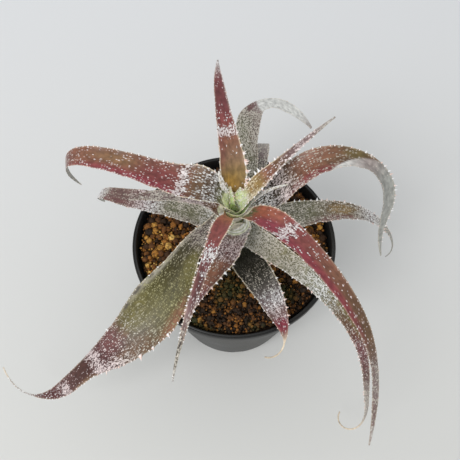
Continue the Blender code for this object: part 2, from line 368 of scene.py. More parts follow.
def pot_outline():
    """Radius and height pairs: up the inside, over the lip with its groove, down the outside."""
    step = POT_HEIGHT - STEP_DROP
    bead = 0.45 * MM
    inner_rim = RIM_RADIUS - LIP_WIDTH
    heights = np.linspace(POT_FLOOR + 2 * MM, step - STEP_WIDTH, 10)
    inside = np.stack([outer(heights) - WALL - STEP_WIDTH * smooth(0.3, 1, heights / step), heights], -1)
    low = np.linspace(0.02, 0.2, 5)
    wall_low = np.stack([outer(low * POT_HEIGHT), low * POT_HEIGHT], -1)
    wall_high = np.linspace(step - 0.6 * STEP_WIDTH, 0.2 * POT_HEIGHT, 8)[1:-1]
    return np.concatenate([
        [(0.5 * MM, POT_FLOOR), (BASE_RADIUS - 3 * WALL, POT_FLOOR)],
        inside,
        [(outer(step) - WALL, step), (inner_rim - 0.1 * MM, POT_HEIGHT - 3.4 * MM)],
        arc(inner_rim + bead, POT_HEIGHT - bead, bead, 180, 60, 5),
        [(inner_rim + 2.5 * bead, POT_HEIGHT - 0.25 * MM)],
        arc(RIM_RADIUS - bead, POT_HEIGHT - bead, bead, 115, 10, 5),
        [(RIM_RADIUS, POT_HEIGHT - 1.2 * MM), (RIM_RADIUS, POT_HEIGHT - 2.7 * MM)],
        arc(RIM_RADIUS - 0.4 * MM, POT_HEIGHT - 2.8 * MM, 0.4 * MM, 0, -90, 4),
        [(outer(POT_HEIGHT - 3.2 * MM) + 0.1 * MM, POT_HEIGHT - 3.2 * MM),
         (outer(step), step), (outer(step) - 0.6 * STEP_WIDTH, step - 0.6 * STEP_WIDTH)],
        np.stack([outer(wall_high) - 0.6 * STEP_WIDTH * smooth(0.2, 0.9, wall_high / step), wall_high], -1),
        wall_low[::-1],
        arc(BASE_RADIUS - 0.8 * MM, 0.9 * MM, 0.9 * MM, 0, -90, 5),
        [(BASE_RADIUS - 4 * MM, 0), (0.5 * MM, 0)],
    ])


outline = pot_outline()
print("pot outline:", len(outline), "points, widest", round(2 * outline[:, 0].max() / MM, 1), "mm")

# %% Pot plastic
pot_plastic, tree, shader = new_material("pot_plastic", Specular_IOR_Level=0.36)
place = node(tree, "TexCoord").outputs["Object"]
broad = node(tree, "TexNoise", {"Vector": place, "Scale": 28.0, "Detail": 4.0}).outputs["Fac"]
stretch = node(tree, "Mapping", {"Vector": place, "Scale": (60, 60, 1500)}).outputs["Vector"]
turning = node(tree, "TexNoise", {"Vector": stretch, "Scale": 1.0, "Detail": 2.0}).outputs["Fac"]
grain = node(tree, "TexNoise", {"Vector": place, "Scale": 2600.0, "Detail": 1.0}).outputs["Fac"]
dusty = ramp(tree, broad, 0.45, 0.72)
faded = blend_colours(tree, turning, (0.011, 0.011, 0.011, 1), (0.021, 0.021, 0.020, 1))
finish = blend_colours(tree, arithmetic(tree, "MULTIPLY", dusty, 0.35), faded, (0.08, 0.075, 0.065, 1))
rough = arithmetic(tree, "MULTIPLY_ADD", broad, 0.3, 0.27)
relief = arithmetic(tree, "ADD", arithmetic(tree, "MULTIPLY", grain, 0.35), turning)
feed(tree, shader, finish, rough, relief, 0.00008)
print("pot plastic nodes:", len(tree.nodes))

# %% Turn the pot and cut its drain slots
around = circle(POT_CORNERS)
ring = np.stack([np.cos(around), np.sin(around), 0 * around], -1)
rings = outline[:, None, :1] * ring + outline[:, None, 1:] * np.array([0, 0, 1])
pot = skin("nursery_pot", rings[None], [pot_plastic])

SLOT_COUNT = 4
SLOT_INNER_RADIUS = 25 * MM
SLOT_SIZE = (RIM_RADIUS - SLOT_INNER_RADIUS, 4.5 * MM, 6 * MM)
SLOT_BEARING = -85
for index in range(SLOT_COUNT):
    angle = math.radians(SLOT_BEARING + index * 360 / SLOT_COUNT)
    middle = SLOT_INNER_RADIUS + SLOT_SIZE[0] / 2
    bpy.ops.mesh.primitive_cube_add(
        size=1, location=(middle * math.cos(angle), middle * math.sin(angle), 0), rotation=(0, 0, angle))
    cutter = bpy.context.object
    cutter.scale = SLOT_SIZE
    cut = pot.modifiers.new("drain_slot", "BOOLEAN")
    cut.operation = "DIFFERENCE"
    cut.object = cutter
    bpy.context.view_layer.objects.active = pot
    bpy.ops.object.modifier_apply(modifier=cut.name)
    bpy.data.objects.remove(cutter, do_unlink=True)
pot.data.set_sharp_from_angle(angle=math.radians(50))
settle(pot, "pot_plastic", "pot")
print("pot faces:", len(pot.data.polygons))


# %% [markdown]
# ## The soil
#
# The fill is rounded granules 3 to 4 mm across, ochre, orange and dark brown, with dark gaps between. A flat
# picture of stones would look painted on, so each granule is a real lump. They must stay light, because
# there are well over a thousand: four rings of seven points is enough. One array holds them all. The radius
# of each point is scaled by its own random amount, which makes every lump different, and a number stored on
# each lump picks its colour. Under them a lumpy bed fills the pot.

# %% Where the granules lie
SOIL_TOP = 84 * MM
SOIL_INNER = outer(SOIL_TOP) - WALL - 0.4 * MM
STEM_BACK = 1.2 * MM                  # how far back the stem stands where it leaves the soil
ROW_SHARE = 0.866                     # rows of a triangle lattice, as a share of its spacing
rng = np.random.default_rng(12)


def scatter(spacing, reach):
    """Points of a triangle lattice in a disc, each pushed a random way by up to a third of the spacing."""
    count = int(2 * reach / spacing) + 3
    column, row = np.meshgrid(np.arange(-count, count), np.arange(-count, count))
    x = spacing * (column + 0.5 * (row % 2)).ravel()
    y = spacing * ROW_SHARE * row.ravel()
    x = x + rng.uniform(-0.33, 0.33, x.size) * spacing
    y = y + rng.uniform(-0.33, 0.33, y.size) * spacing
    return np.stack([x, y], -1)[np.hypot(x, y) < reach]


lower = scatter(3.1 * MM, SOIL_INNER - 1.4 * MM)
upper = scatter(3.7 * MM, SOIL_INNER - 2.0 * MM)
places = np.concatenate([lower, upper])
layer = np.concatenate([np.zeros(len(lower)), np.ones(len(upper))])
clear_of_stem = np.hypot(places[:, 0], places[:, 1] - STEM_BACK) > 5 * MM
places, layer = places[clear_of_stem], layer[clear_of_stem]
print("granules:", len(places))


# %% Shape the granules
def lumps(places, heights, sizes, flatness, rows=4, corners=7):
    """Rounded lumps: rings of a sphere, every point's radius scaled at random, then turned and squashed."""
    count = len(places)
    climb = np.radians(np.linspace(-62, 62, rows))
    around = circle(corners)
    unit = np.stack([
        np.cos(climb)[:, None] * np.cos(around), np.cos(climb)[:, None] * np.sin(around),
        np.repeat(np.sin(climb)[:, None], corners, axis=1)], -1)
    rough = rng.uniform(0.82, 1.14, (count, rows, corners, 1))
    shape = unit[None] * rough * sizes[:, None, None, None]
    shape = shape * rng.uniform(0.78, 1.2, (count, 1, 1, 3)) * np.array([1, 1, flatness])
    tilt = rng.uniform(-0.6, 0.6, count)
    turn = rng.uniform(0, 2 * np.pi, count)
    x, y, z = np.moveaxis(shape, -1, 0)
    cos, sin = np.cos(tilt)[:, None, None], np.sin(tilt)[:, None, None]
    x, z = cos * x + sin * z, cos * z - sin * x
    cos, sin = np.cos(turn)[:, None, None], np.sin(turn)[:, None, None]
    x, y = cos * x - sin * y, cos * y + sin * x
    middle = np.concatenate([places, heights[:, None]], axis=1)
    return np.stack([x, y, z], -1) + middle[:, None, None, :]


def mound(places):
    """The soil's low dome: a quarter of a cosine wave from the middle to the wall."""
    return 1.0 * MM * np.cos(np.clip(np.hypot(*places.T) / SOIL_INNER, 0, 1) * np.pi / 2)


def shaded_mossy_front(places):
    """0 at the back and left, 1 in the front and front right, where the soil is finer and mossy and the
    leaves' shadow on it is painted in as darker colour.
    """
    turned = (0.35 * places[:, 0] - places[:, 1]) / np.maximum(np.hypot(*places.T), 6 * MM)
    return smooth(0.25, 0.75, turned)


def per_point(values, grains):
    return np.broadcast_to(values[:, None, None], grains.shape[:3])


shade_and_moss = shaded_mossy_front(places)
sizes = rng.uniform(1.2, 2.2, len(places)) * MM * mix(1, 0.8, shade_and_moss)
heights = SOIL_TOP - 1.7 * MM + layer * 1.8 * MM + mound(places) + rng.uniform(-0.5, 0.5, len(places)) * MM
grains = lumps(places, heights, sizes, 0.9)
# Painted shade: the granules in the front and front right get darker tones, for the leaves' shadow there.
tone = rng.uniform(0, 1, len(places)) - 0.18 * shade_and_moss

crumb_reach = SOIL_INNER - 0.8 * MM
crumb_places = np.concatenate([scatter(spacing * MM, crumb_reach) for spacing in (1.8, 1.6)])
dense = np.arange(len(crumb_places)) > 0.45 * len(crumb_places)
keep = np.hypot(crumb_places[:, 0], crumb_places[:, 1] - STEM_BACK) > 4.8 * MM
keep &= ~dense | (shaded_mossy_front(crumb_places) > rng.uniform(0.1, 0.9, len(crumb_places)))
crumb_places, dense = crumb_places[keep], dense[keep]
crumb_sizes = rng.uniform(0.4, 0.95, len(crumb_places)) * MM
crumb_heights = SOIL_TOP + mound(crumb_places) + rng.uniform(-0.6, 1.2, len(crumb_places)) * MM
crumbs = lumps(crumb_places, crumb_heights, crumb_sizes, 0.8, rows=3, corners=5)
crumb_shade_and_moss = shaded_mossy_front(crumb_places)
# Painted shade: the crumbs there are darker too.
crumb_tone = rng.uniform(-0.1, 0.95, len(crumb_places)) - 0.2 * crumb_shade_and_moss
print("granules", len(grains), "and crumbs", len(crumbs))

# %% [markdown]
# Granules of baked clay and bark are dull. Their colour is picked from a ramp by the number stored on each
# lump, broken up by a fine noise, and darkened low down where dust and shade collect. The ramp's stops go
# from nearly black through brown and orange to pale ochre, with only a few of the palest.
# In the front and front right the leaves' shadow is painted in as darker colour, among real moss.

# %% Granule finish
soil_granules, tree, shader = new_material("soil_granules", Specular_IOR_Level=0.3)
place = node(tree, "TexCoord").outputs["Object"]
pick = node(tree, "Attribute", attribute_name="tone").outputs["Fac"]
fine = node(tree, "TexNoise", {"Vector": place, "Scale": 900.0, "Detail": 3.0}).outputs["Fac"]
patch = node(tree, "TexNoise", {"Vector": place, "Scale": 45.0, "Detail": 2.0}).outputs["Fac"]
shade_and_moss_attribute = node(tree, "Attribute", attribute_name="shade_and_moss").outputs["Fac"]
patchy = arithmetic(tree, "MULTIPLY", arithmetic(tree, "SUBTRACT", patch, 0.5), 0.9)
choice = arithmetic(tree, "ADD", pick, patchy)
stops = node(tree, "ValToRGB", {"Fac": choice})
scale = stops.color_ramp
scale.elements[0].position = 0.0
scale.elements[0].color = (*colour(34, 24, 16), 1)
scale.elements[1].position = 1.0
scale.elements[1].color = (*colour(240, 196, 108), 1)
BROWNS = {0.22: (70, 44, 22), 0.45: (122, 76, 34), 0.66: (172, 112, 46), 0.86: (208, 150, 66)}
for position, shade in BROWNS.items():
    scale.elements.new(position).color = (*colour(*shade), 1)
wear = ramp(tree, fine, 0.35, 0.7, 0.0, 0.75)
worn_and_shaded = blend_colours(tree, wear, stops.outputs["Color"], (0.055, 0.030, 0.016, 1))
# Painted shade and real moss: in the front and front right the granules are mixed a little towards near
# black, for the leaves' shadow, and moss green is mixed in.
mossy = arithmetic(tree, "MULTIPLY", shade_and_moss_attribute, ramp(tree, patch, 0.42, 0.6, 0.0, 0.75))
green = blend_colours(tree, fine, (0.022, 0.028, 0.009, 1), (0.085, 0.100, 0.028, 1))
worn_and_shaded = blend_colours(tree, ramp(tree, shade_and_moss_attribute, 0.0, 1.0, 0.0, 0.12), worn_and_shaded, (0.020, 0.013, 0.008, 1))
worn_and_shaded = blend_colours(tree, mossy, worn_and_shaded, green)
rough = ramp(tree, fine, 0.2, 0.8, 0.7, 0.95)
feed(tree, shader, worn_and_shaded, rough, fine, 0.00025)
soil = skin("soil_granules", grains, [soil_granules],
            {"tone": per_point(tone, grains), "shade_and_moss": per_point(shade_and_moss, grains)})
soil_crumbs = skin("soil_crumbs", crumbs, [soil_granules],
                   {"tone": per_point(crumb_tone, crumbs), "shade_and_moss": per_point(crumb_shade_and_moss, crumbs)})
settle(soil_crumbs, "soil_granules")
print("granule faces:", len(soil.data.polygons))

# %% The bed under the granules
STEP_BOTTOM = POT_HEIGHT - STEP_DROP - STEP_WIDTH
bed_heights = np.array([
    POT_FLOOR + 0.3 * MM, STEP_BOTTOM, POT_HEIGHT - STEP_DROP + 0.3 * MM, SOIL_TOP - 2.4 * MM])
bed_radii = outer(bed_heights) - WALL - 0.4 * MM - STEP_WIDTH * np.array([0, 1, 0, 0])
top_radii = SOIL_INNER * np.linspace(0.96, 0.04, 12)
radii = np.concatenate([bed_radii, top_radii])
levels = np.concatenate([bed_heights, SOIL_TOP - 1.6 * MM + 0 * top_radii])
around = circle(72)
lumpy = rng.uniform(-0.5, 0.5, (len(radii), 72)) * MM
lumpy[:4] = 0
bed = np.stack([
    radii[:, None] * np.cos(around), radii[:, None] * np.sin(around), levels[:, None] + lumpy], -1)
bed_tone = np.full((1, *bed.shape[:2]), 0.08)
soil_bed = skin("soil_bed", bed[None], [soil_granules], {"tone": bed_tone, "shade_and_moss": 0 * bed_tone + 0.5})
settle(soil, "soil_granules", "soil")
settle(soil_bed, "soil_granules")
print("bed rings:", len(radii))


# %% [markdown]
# ## The leaves: a habit for each
#
# Each leaf is described by its habit: the height at which it leaves the stem, its length, and short lists of
# its bearing, climb, width and twist from foot to tip. The same lists shape the plain solids in the frame, so
# the finished leaves lie where those are. Everything finer is worked out from here: the cross-section, the
# clasping base, the wavy margin, the spines and the colours.
#
# These lists weren't all written by hand. The heights and the number of stations were given one by one. Most
# of the other values came from a separate program, a least-squares fit, and were rounded, and some were then
# changed.

# %% Stem and leaf habits
STEM_LEAN = 0.2
LEAN_START = 78                      # mm, where the stem begins to lean back
STEM_HEIGHTS = (50.3, 56, 72, 79, 100, 108, 113, 115.5)
STEM_RADII = (1.6, 3.2, 3.6, 4.0, 4.0, 3.2, 2.0, 1.0)
LEAF_CLEARANCE = 0.9
LEAST_WIDTH = 0.8

LEAVES = {
    "leaf_back_upright": dict(
        height=108, length=81, bearing=(86, 103, 97, 91), climb=(71, 45, 18, -1, -11),
        width=(5, 12, 9.6, 7, 5.2, 1.2), twist=(5, 1)),
    "leaf_left_arching": dict(
        height=110.8, length=110.5, bearing=(172, 164, 167, 166), climb=(80, 9, 12, 6, -9, -70, -131),
        width=(5, 15, 14.4, 12, 10.2, 6.2, 0.8), twist=(0, -28)),
    "leaf_left_low": dict(
        height=92, length=79, bearing=(160, 164, 166, 162, 157),
        climb=(20, 18, 14, 7, 0, -6, -9, -7, -42, -150),
        width=(8, 12, 13.8, 13.7, 13.5, 12.5, 11, 9, 6, 0.8), twist=(0, -1)),
    "leaf_left_short": dict(
        height=103.5, length=52, bearing=(157, 177, 168), climb=(33, 13, -8, -34),
        width=(5, 7.5, 6.5, 2.4), twist=(2, 0)),
    "leaf_front_left_broad": dict(
        height=98.5, length=181, bearing=(202, 242, 227, 203, 203, 171, 118),
        climb=(21, -16, -22, -34, -44, -26, 11), width=(9, 12, 27, 21, 11, 8.5, 0.8, 0.8),
        twist=(0, -15, 0)),
    "leaf_front_slender": dict(
        height=107, length=102, bearing=(246, 255, 250, 249), climb=(64, 26, -6, -42, -64),
        width=(5, 7.5, 5, 3.7, 1.8, 0.8), twist=(-4, 0), wrap=80, opens=8),
    "leaf_front_short": dict(
        height=100.5, length=61, bearing=(268, 247, 236, 250), climb=(38, 17, -11, -41),
        width=(8, 12, 8, 1)),
    "leaf_front_lowest": dict(
        height=88.5, length=75, bearing=(284, 301, 294, 277, 157), climb=(22, 13, 1, -7, -50, -25),
        width=(8, 16.5, 15, 9.5, 0.8, 0.8), twist=(0, 1)),
    "leaf_front_right_low": dict(
        height=95, length=173, bearing=(311, 321, 310, 287, 276, 52),
        climb=(26, 8, -19, -44, -62, -70, -19), width=(9.5, 11, 10, 6.5, 4, 2.6, 0.8, 0.8),
        twist=(4, 0)),
    "leaf_front_right_long": dict(
        height=105, length=178.5, bearing=(312, 307, 306, 262), climb=(75, 29, -10, -58, -65, -46),
        width=(7, 13, 10, 7.4, 4.7, 3.4, 0.8), twist=(0, -3)),
    "leaf_right_low": dict(
        height=90.5, length=120, bearing=(10, 9, 5, -13, -60), climb=(23, 11, -10, -40, -61, -105),
        width=(8, 16, 13, 9, 5.4, 1.6, 0.8), twist=(2, 3)),
    "leaf_right_arching": dict(
        height=102, length=143, bearing=(12, 16, -8, -54, -61), climb=(30, 56, 3, -57, -81, -58),
        width=(8.5, 15, 14.5, 9, 9.5, 4.3, 0.8), twist=(7, 4), cup=(35, 30, 42, 46, 30, 15)),
    "leaf_back_right_slender": dict(
        height=109.8, length=64, bearing=(11, 30, 32), climb=(77, 36, 19),
        width=(4.5, 9, 5.2, 2.8, 0.8)),
    "leaf_back_hooked": dict(
        height=97, length=109, bearing=(57, 86, 94, 58, -3, -26), climb=(34, 11, -4, -23, -47),
        width=(7, 7, 8.5, 13, 7.5, 7.5, 1.7), twist=(0, 4)),
    "leaf_back_low": dict(
        height=92.8, length=61, bearing=(65, 74, 93), climb=(31, 21, 18, -34, -166),
        width=(6, 10, 9.5, 7.5, 1.5), twist=(0, -2)),
}


def stem_axis(height):
    """A point on the stem's axis in mm: upright in the pot, then leaning back."""
    return np.array([0, STEM_LEAN * max(height - LEAN_START, 0), height])


def stem_radius(height):
    return np.interp(height, STEM_HEIGHTS, STEM_RADII)


print("habits:", len(LEAVES), "leaves,", sum(habit["length"] for habit in LEAVES.values()), "mm in all")


# %% [markdown]
# ## From a habit to a surface
#
# First the midrib: step along the leaf, turning with its bearing and climb, and add the steps up. At each
# step three directions are known: onwards, to the left, and out of the upper face. Then the cross-section is
# laid across the midrib as part of a circle, which makes the channel. Near the foot that circle closes round
# the stem, because an orthophytum leaf clasps it with a broad sheath. Two faces stand a little apart, thick
# at the midrib and thin at the margin, and meet in a rounded edge: seen end on, each ring is a thin crescent.

# %% Midrib and directions
SHEATH = 7.0                         # mm of clasping base below the foot
SHEATH_CLIMB = 84
WRAP = 112                           # degrees that the sheath reaches each way round the stem
OPENS = 11.0                         # mm beyond the foot where the sheath has opened into the blade
CUP = (35, 15)                       # half the channel's angle at foot and tip, degrees
THICKNESS = (1.1, 1.1)               # mm, at foot and tip
ROW_SPACING = 0.6                    # mm


def sheath_radius(habit):
    """How far from the stem's axis a leaf's sheath stands, in mm."""
    return stem_radius(habit["height"]) + habit.get("clear", LEAF_CLEARANCE)


def midrib(habit):
    """Distances, points and directions, in mm, from the sheath's lower edge to the tip.

    Each point is the one before plus a step in the mean of the two directions. Onwards is (cos climb times
    cos bearing, cos climb times sin bearing, sin climb); left is level and square to it; upper is their
    cross product; twist turns left and upper about onwards."""
    length = habit["length"]
    sheath = habit.get("sheath", SHEATH)
    rows = int((length + sheath) / ROW_SPACING) + 1
    distance = np.linspace(-sheath, length, rows)
    share = np.clip(distance / length, 0, 1)
    below = smooth(0, 0.7 * sheath, -distance)
    bearing = np.radians(along(habit["bearing"], share))
    climb = np.radians(mix(along(habit["climb"], share), SHEATH_CLIMB, below))
    twist = np.radians(along(habit.get("twist", (0, 0)), share))[:, None]
    onwards = np.stack(
        [np.cos(climb) * np.cos(bearing), np.cos(climb) * np.sin(bearing), np.sin(climb)], -1)
    level = np.stack([-np.sin(bearing), np.cos(bearing), 0 * bearing], -1)
    over = np.cross(onwards, level)
    left = np.cos(twist) * level + np.sin(twist) * over
    upper = np.cos(twist) * over - np.sin(twist) * level

    steps = 0.5 * (onwards[1:] + onwards[:-1]) * np.diff(distance)[:, None]
    path = np.vstack([np.zeros(3), np.cumsum(steps, axis=0)])
    at_foot = np.array([np.interp(0, distance, path[:, k]) for k in range(3)])
    start = math.radians(habit["bearing"][0])
    foot = stem_axis(habit["height"])
    foot[:2] += sheath_radius(habit) * np.array([math.cos(start), math.sin(start)])
    return distance, path - at_foot + foot, left, upper


# %% Section across the leaf
def section(habit, distance):
    """Half the width in mm, half the channel's angle in radians, and the thickness in mm, at each distance.

    Beyond the foot they follow the habit; towards the sheath they turn into an arc round the stem."""
    share = np.clip(distance / habit["length"], 0, 1)
    opens = habit.get("opens", OPENS)
    clasp = smooth(opens, -0.2 * opens, distance)
    hug = smooth(0.6 * opens, -0.2 * opens, distance)
    wrap = math.radians(habit.get("wrap", WRAP))
    cup = np.radians(along(habit.get("cup", CUP), share))
    blade = 0.5 * np.maximum(along(habit["width"], share), LEAST_WIDTH)
    sheath = wrap * sheath_radius(habit)
    half_width = mix(blade, sheath, clasp)
    half_angle = mix(cup, wrap, hug)
    thickness = np.minimum(along(habit.get("thick", THICKNESS), share), 1.1 * blade) * mix(1, 0.75, clasp)
    return half_width, half_angle, thickness


def firmness(distance, half_width):
    """How strongly the margin's details show: not at all in the sheath, and less on a narrow leaf."""
    return smooth(0, 12, distance) * np.clip(half_width / 5, 0.15, 1.3)


def side_extra(habit, distance, side):
    """Extra width in mm on one side: bell curves, each (side, middle, reach, amount), added together."""
    extra = 0 * distance
    for which, middle, reach, amount in habit.get("extra", ()):
        if which == side:
            extra = extra + amount * np.exp(-(((distance - middle) / reach) ** 2))
    return extra


def lay_across(path, left, upper, half_width, half_angle, across):
    """Points on the leaf's middle surface and its upward normals. across runs from -1 to 1: each row is an
    arc of radius half_width / half_angle that starts along left and curls towards upper."""
    angle = across * half_angle[:, None]
    radius = (half_width / half_angle)[:, None]
    out = (radius * np.sin(angle))[..., None] * left[:, None]
    lift = (radius * (1 - np.cos(angle)))[..., None] * upper[:, None]
    normal = np.cos(angle)[..., None] * upper[:, None] - np.sin(angle)[..., None] * left[:, None]
    return path[:, None] + out + lift, normal


print("a sheath", SHEATH, "mm long opens over", OPENS, "mm")

# %% [markdown]
# A real margin isn't a ruled line. It ripples gently up and down, and swells a little at every spine. Both
# come from sums over the row positions: two sine waves for the ripple, and one small bell curve for each
# spine. The spines are placed first, because the swellings need their positions.

# %% Margin details
SPINE_SPACING = 2.9                  # mm
SPINE_START = 5.0
FINE = (0.6, 0.7, 0.6, 0.5, 0.4, 0.3)
TEETH = (0.9, 1.05, 0.95, 0.75, 0.5, 0.3)   # mm, how far the spines stand out, from foot to tip
RIPPLE = 0.16                        # mm, the height of the margin's wave
OTHER_MARGIN = 2.4                   # radians, how far the right margin's wave is behind the left one's

# extra is width on one side as (side, middle, reach, amount), and teeth the spines of each side, both in mm.
# A thorn is one larger spine, as (side, share of the length, size). The left side is 1 and the right one -1.
DETAILS = {
    "leaf_back_upright": dict(
        extra=[(1, 18, 22, 1.3), (-1, 70, 16, -0.6)], teeth={1: FINE, -1: (0, 1.2, 1.2, 0.7, 0.5, 0.4, 0.3)},
        thorns=[(-1, 0.16, 2.2), (-1, 0.205, 2.6), (-1, 0.26, 2.3), (-1, 0.31, 1.6)]),
    "leaf_left_arching": dict(extra=[(-1, 18, 13, 3.4)], teeth={1: FINE, -1: (1.1, 1.0, 0.9, 0.8, 0.6, 0.4)}),
    "leaf_left_low": dict(teeth={1: (0.9, 0.9, 0.8, 0.6, 0.4), -1: FINE}),
    "leaf_left_short": dict(teeth={1: FINE, -1: FINE}),
    "leaf_front_left_broad": dict(
        extra=[(1, 24, 14, 2.2)], teeth={1: (0.7, 0.8, 0.9, 0.9, 0.8, 0.7, 0.5, 0.3), -1: FINE},
        thorns=[(1, 0.335, 2.2), (1, 0.38, 2.0), (1, 0.415, 2.8), (1, 0.52, 1.8), (-1, 0.45, 1.4)]),
    "leaf_front_slender": dict(
        spacing=2.0, extra=[(1, 22, 11, 1.2), (1, 39, 5, 0.8)],
        teeth={1: FINE, -1: (0.9, 1.0, 0.9, 0.6, 0.3)}),
    "leaf_front_short": dict(
        extra=[(1, 6, 9, 3.2), (1, 22, 10, 1.2)], teeth={1: (0.8, 1.1, 1.5, 1.2, 0.8), -1: FINE}),
    "leaf_front_lowest": dict(
        spacing=3.6, teeth={1: (0.9, 1.2, 1.4, 0.9, 0.3), -1: (0.8, 0.9, 0.8, 0.6, 0.3)}),
    "leaf_front_right_low": dict(
        extra=[(1, 12, 16, 2.8), (-1, 38, 22, -0.9)],
        teeth={1: FINE, -1: (0.8, 1.0, 1.0, 0.9, 0.6, 0.3)}),
    "leaf_front_right_long": dict(
        extra=[(1, 105, 30, -0.5)], spacing=3.4, teeth={1: (0.9, 0.8, 0.6, 0.5, 0.5, 0.4), -1: FINE}),
    "leaf_right_low": dict(teeth={1: (0.9, 1.2, 1.3, 1.0, 0.8, 0.5), -1: (0.8, 1.0, 1.0, 0.8, 0.5)}),
    "leaf_right_arching": dict(teeth={1: (0.7, 0.8, 0.8, 1.0, 1.3, 1.2, 0.8), -1: FINE}),
    "leaf_back_right_slender": dict(teeth={1: (1.0, 1.6, 1.1, 0.6, 0.3), -1: (1.0, 1.5, 1.1, 0.6, 0.3)}),
    "leaf_back_hooked": dict(teeth={1: FINE, -1: FINE}),
}
for name, detail in DETAILS.items():
    LEAVES[name].update(detail)


def spine_places(habit, side, rng):
    """Distances of the spines along one margin, and their lengths: nearly even, and none where they would be
    too small to see."""
    spacing = habit.get("spacing", SPINE_SPACING)
    count = max(int((0.95 * habit["length"] - SPINE_START) / spacing), 0)
    spots = SPINE_START + spacing * (np.arange(count) + rng.uniform(-0.3, 0.3, count))
    sizes = along(habit.get("teeth", {}).get(side, TEETH), np.clip(spots / habit["length"], 0, 1))
    sizes = sizes * rng.uniform(0.65, 1.3, count)
    width = along(habit["width"], np.clip(spots / habit["length"], 0, 1))
    grown = (width > 2.0) & (sizes > 0.25)
    thorns = [thorn[1:] for thorn in habit.get("thorns", ()) if thorn[0] == side]
    more = np.array(thorns).reshape(-1, 2) * (habit["length"], 1)
    return np.concatenate([spots[grown], more[:, 0]]), np.concatenate([sizes[grown], more[:, 1]])


def ripple(distance, phase):
    """A gentle wave along a margin: two sines whose lengths don't fit each other."""
    return RIPPLE * (np.sin(distance / 2.1 + phase) + 0.6 * np.sin(distance / 1.13 + 2 * phase))


def swellings(distance, spots):
    """Small lobes under the spines: a bell curve 0.7 mm wide at each spot, as high as its spine is long."""
    places, sizes = spots
    return (sizes * np.exp(-(((distance[:, None] - places) / 0.7) ** 2))).sum(axis=1)


# %% Blade rings
BLADE_CORNERS = 44


def blade_rings(habit, seed, left_spots, right_spots):
    """Closed rings of the leaf, and for each point how far along it is in mm and how far across, -1 to 1.

    across is the cosine of the angle round the ring and the face's height its sine, raised to a power so
    that the crescent stays full until close to the margin."""
    distance, path, left, upper = midrib(habit)
    half_width, half_angle, thickness = section(habit, distance)
    turn = circle(BLADE_CORNERS)
    across = np.cos(turn)[None]
    face = np.sign(np.sin(turn)) * np.abs(np.sin(turn)) ** 0.55
    firm = firmness(distance, half_width)
    on_left = across > 0
    lobes = np.where(
        on_left, swellings(distance, left_spots)[:, None], swellings(distance, right_spots)[:, None])
    extra = np.where(
        on_left, side_extra(habit, distance, 1)[:, None], side_extra(habit, distance, -1)[:, None])
    half = half_width[:, None] + extra + 0.22 * firm[:, None] * lobes * np.abs(across) ** 6
    scale = half / half_width[:, None]
    points, normals = lay_across(path, left, upper, half_width, half_angle, across * scale)
    edge = np.abs(across) ** 3
    phase = np.where(on_left, seed, seed + OTHER_MARGIN)
    wave = ripple(distance[:, None], phase) * edge * firm[:, None]
    groove = -0.16 * np.exp(-((across / 0.10) ** 2)) * firm[:, None]
    depth = 0.5 * thickness[:, None] * (1 - 0.62 * across**2) * face
    points = points + normals * (depth + wave + groove)[..., None]
    return distance, points, across * half, np.where(face >= 0, 1.0, -1.0)[None] + 0 * points[..., 0]


one_spot = (np.array([20.0]), np.array([1.0]))
trial = blade_rings(LEAVES["leaf_front_short"], 1.0, one_spot, one_spot)[1]
print("one leaf has", trial.shape[0], "rings of", trial.shape[1], "points")


# %% [markdown]
# ## Spines
#
# Each margin carries small hooked spines, pale and slightly translucent, which point outwards and towards
# the tip. A spine is a short tube whose rings shrink to a point while its middle line bends forward. Every
# spine of a leaf is worked out in one go: their roots, directions and sizes are arrays.

# %% Spine rings
SPINE_RINGS = np.array([-0.12, 0.0, 0.22, 0.45, 0.68, 0.86, 1.0])
SPINE_TAPER = np.array([0.9, 1.0, 0.7, 0.46, 0.28, 0.15, 0.04])
SPINE_CORNERS = 6


def spine_rings(habit, seed, spots, side, rng):
    """Rings of every spine on one margin, in mm.

    The middle line is root + L (u outwards + lean (0.55 u^2 + 0.25 u) ahead)."""
    distance, path, left, upper = midrib(habit)
    half_width, half_angle, _ = section(habit, distance)
    across = 0.97 * side * (1 + side_extra(habit, distance, side) / half_width)[:, None]
    margin, normal = lay_across(path, left, upper, half_width, half_angle, across)
    spots, size = spots
    phase = seed if side > 0 else seed + OTHER_MARGIN
    wave = ripple(distance, phase) * firmness(distance, half_width)
    margin = margin[:, 0] + normal[:, 0] * wave[:, None]

    def at(values):
        return np.stack([np.interp(spots, distance, values[:, k]) for k in range(3)], -1)

    root, up, ahead = at(margin), at(normal[:, 0]), at(np.gradient(path, axis=0))
    ahead /= np.linalg.norm(ahead, axis=1, keepdims=True)
    up /= np.linalg.norm(up, axis=1, keepdims=True)
    out = np.cross(ahead, up) * -side
    lean = rng.uniform(0.1, 0.6, len(spots))[:, None]
    u = SPINE_RINGS[:, None]
    forward = (0.55 * u**2 + 0.25 * u) * (lean * ahead)[:, None]
    line = root[:, None] + size[:, None, None] * (u * out[:, None] + forward)
    turn = circle(SPINE_CORNERS)
    radius = (0.12 + 0.24 * size)[:, None] * SPINE_TAPER
    wide = radius[..., None, None] * np.cos(turn)[:, None] * ahead[:, None, None] * 1.6
    thin = radius[..., None, None] * np.sin(turn)[:, None] * up[:, None, None] * 0.8
    return line[:, :, None] + wide + thin


# %% Spine finish
SHADE = 1.32                         # how much lighter a skin is than it looks in this soft shade


def skin_colour(red, green, blue):
    """The linear colour of a skin that looks like this one on the 0 to 255 scale when it is lit."""
    return np.minimum(SHADE * colour(red, green, blue), 0.93)


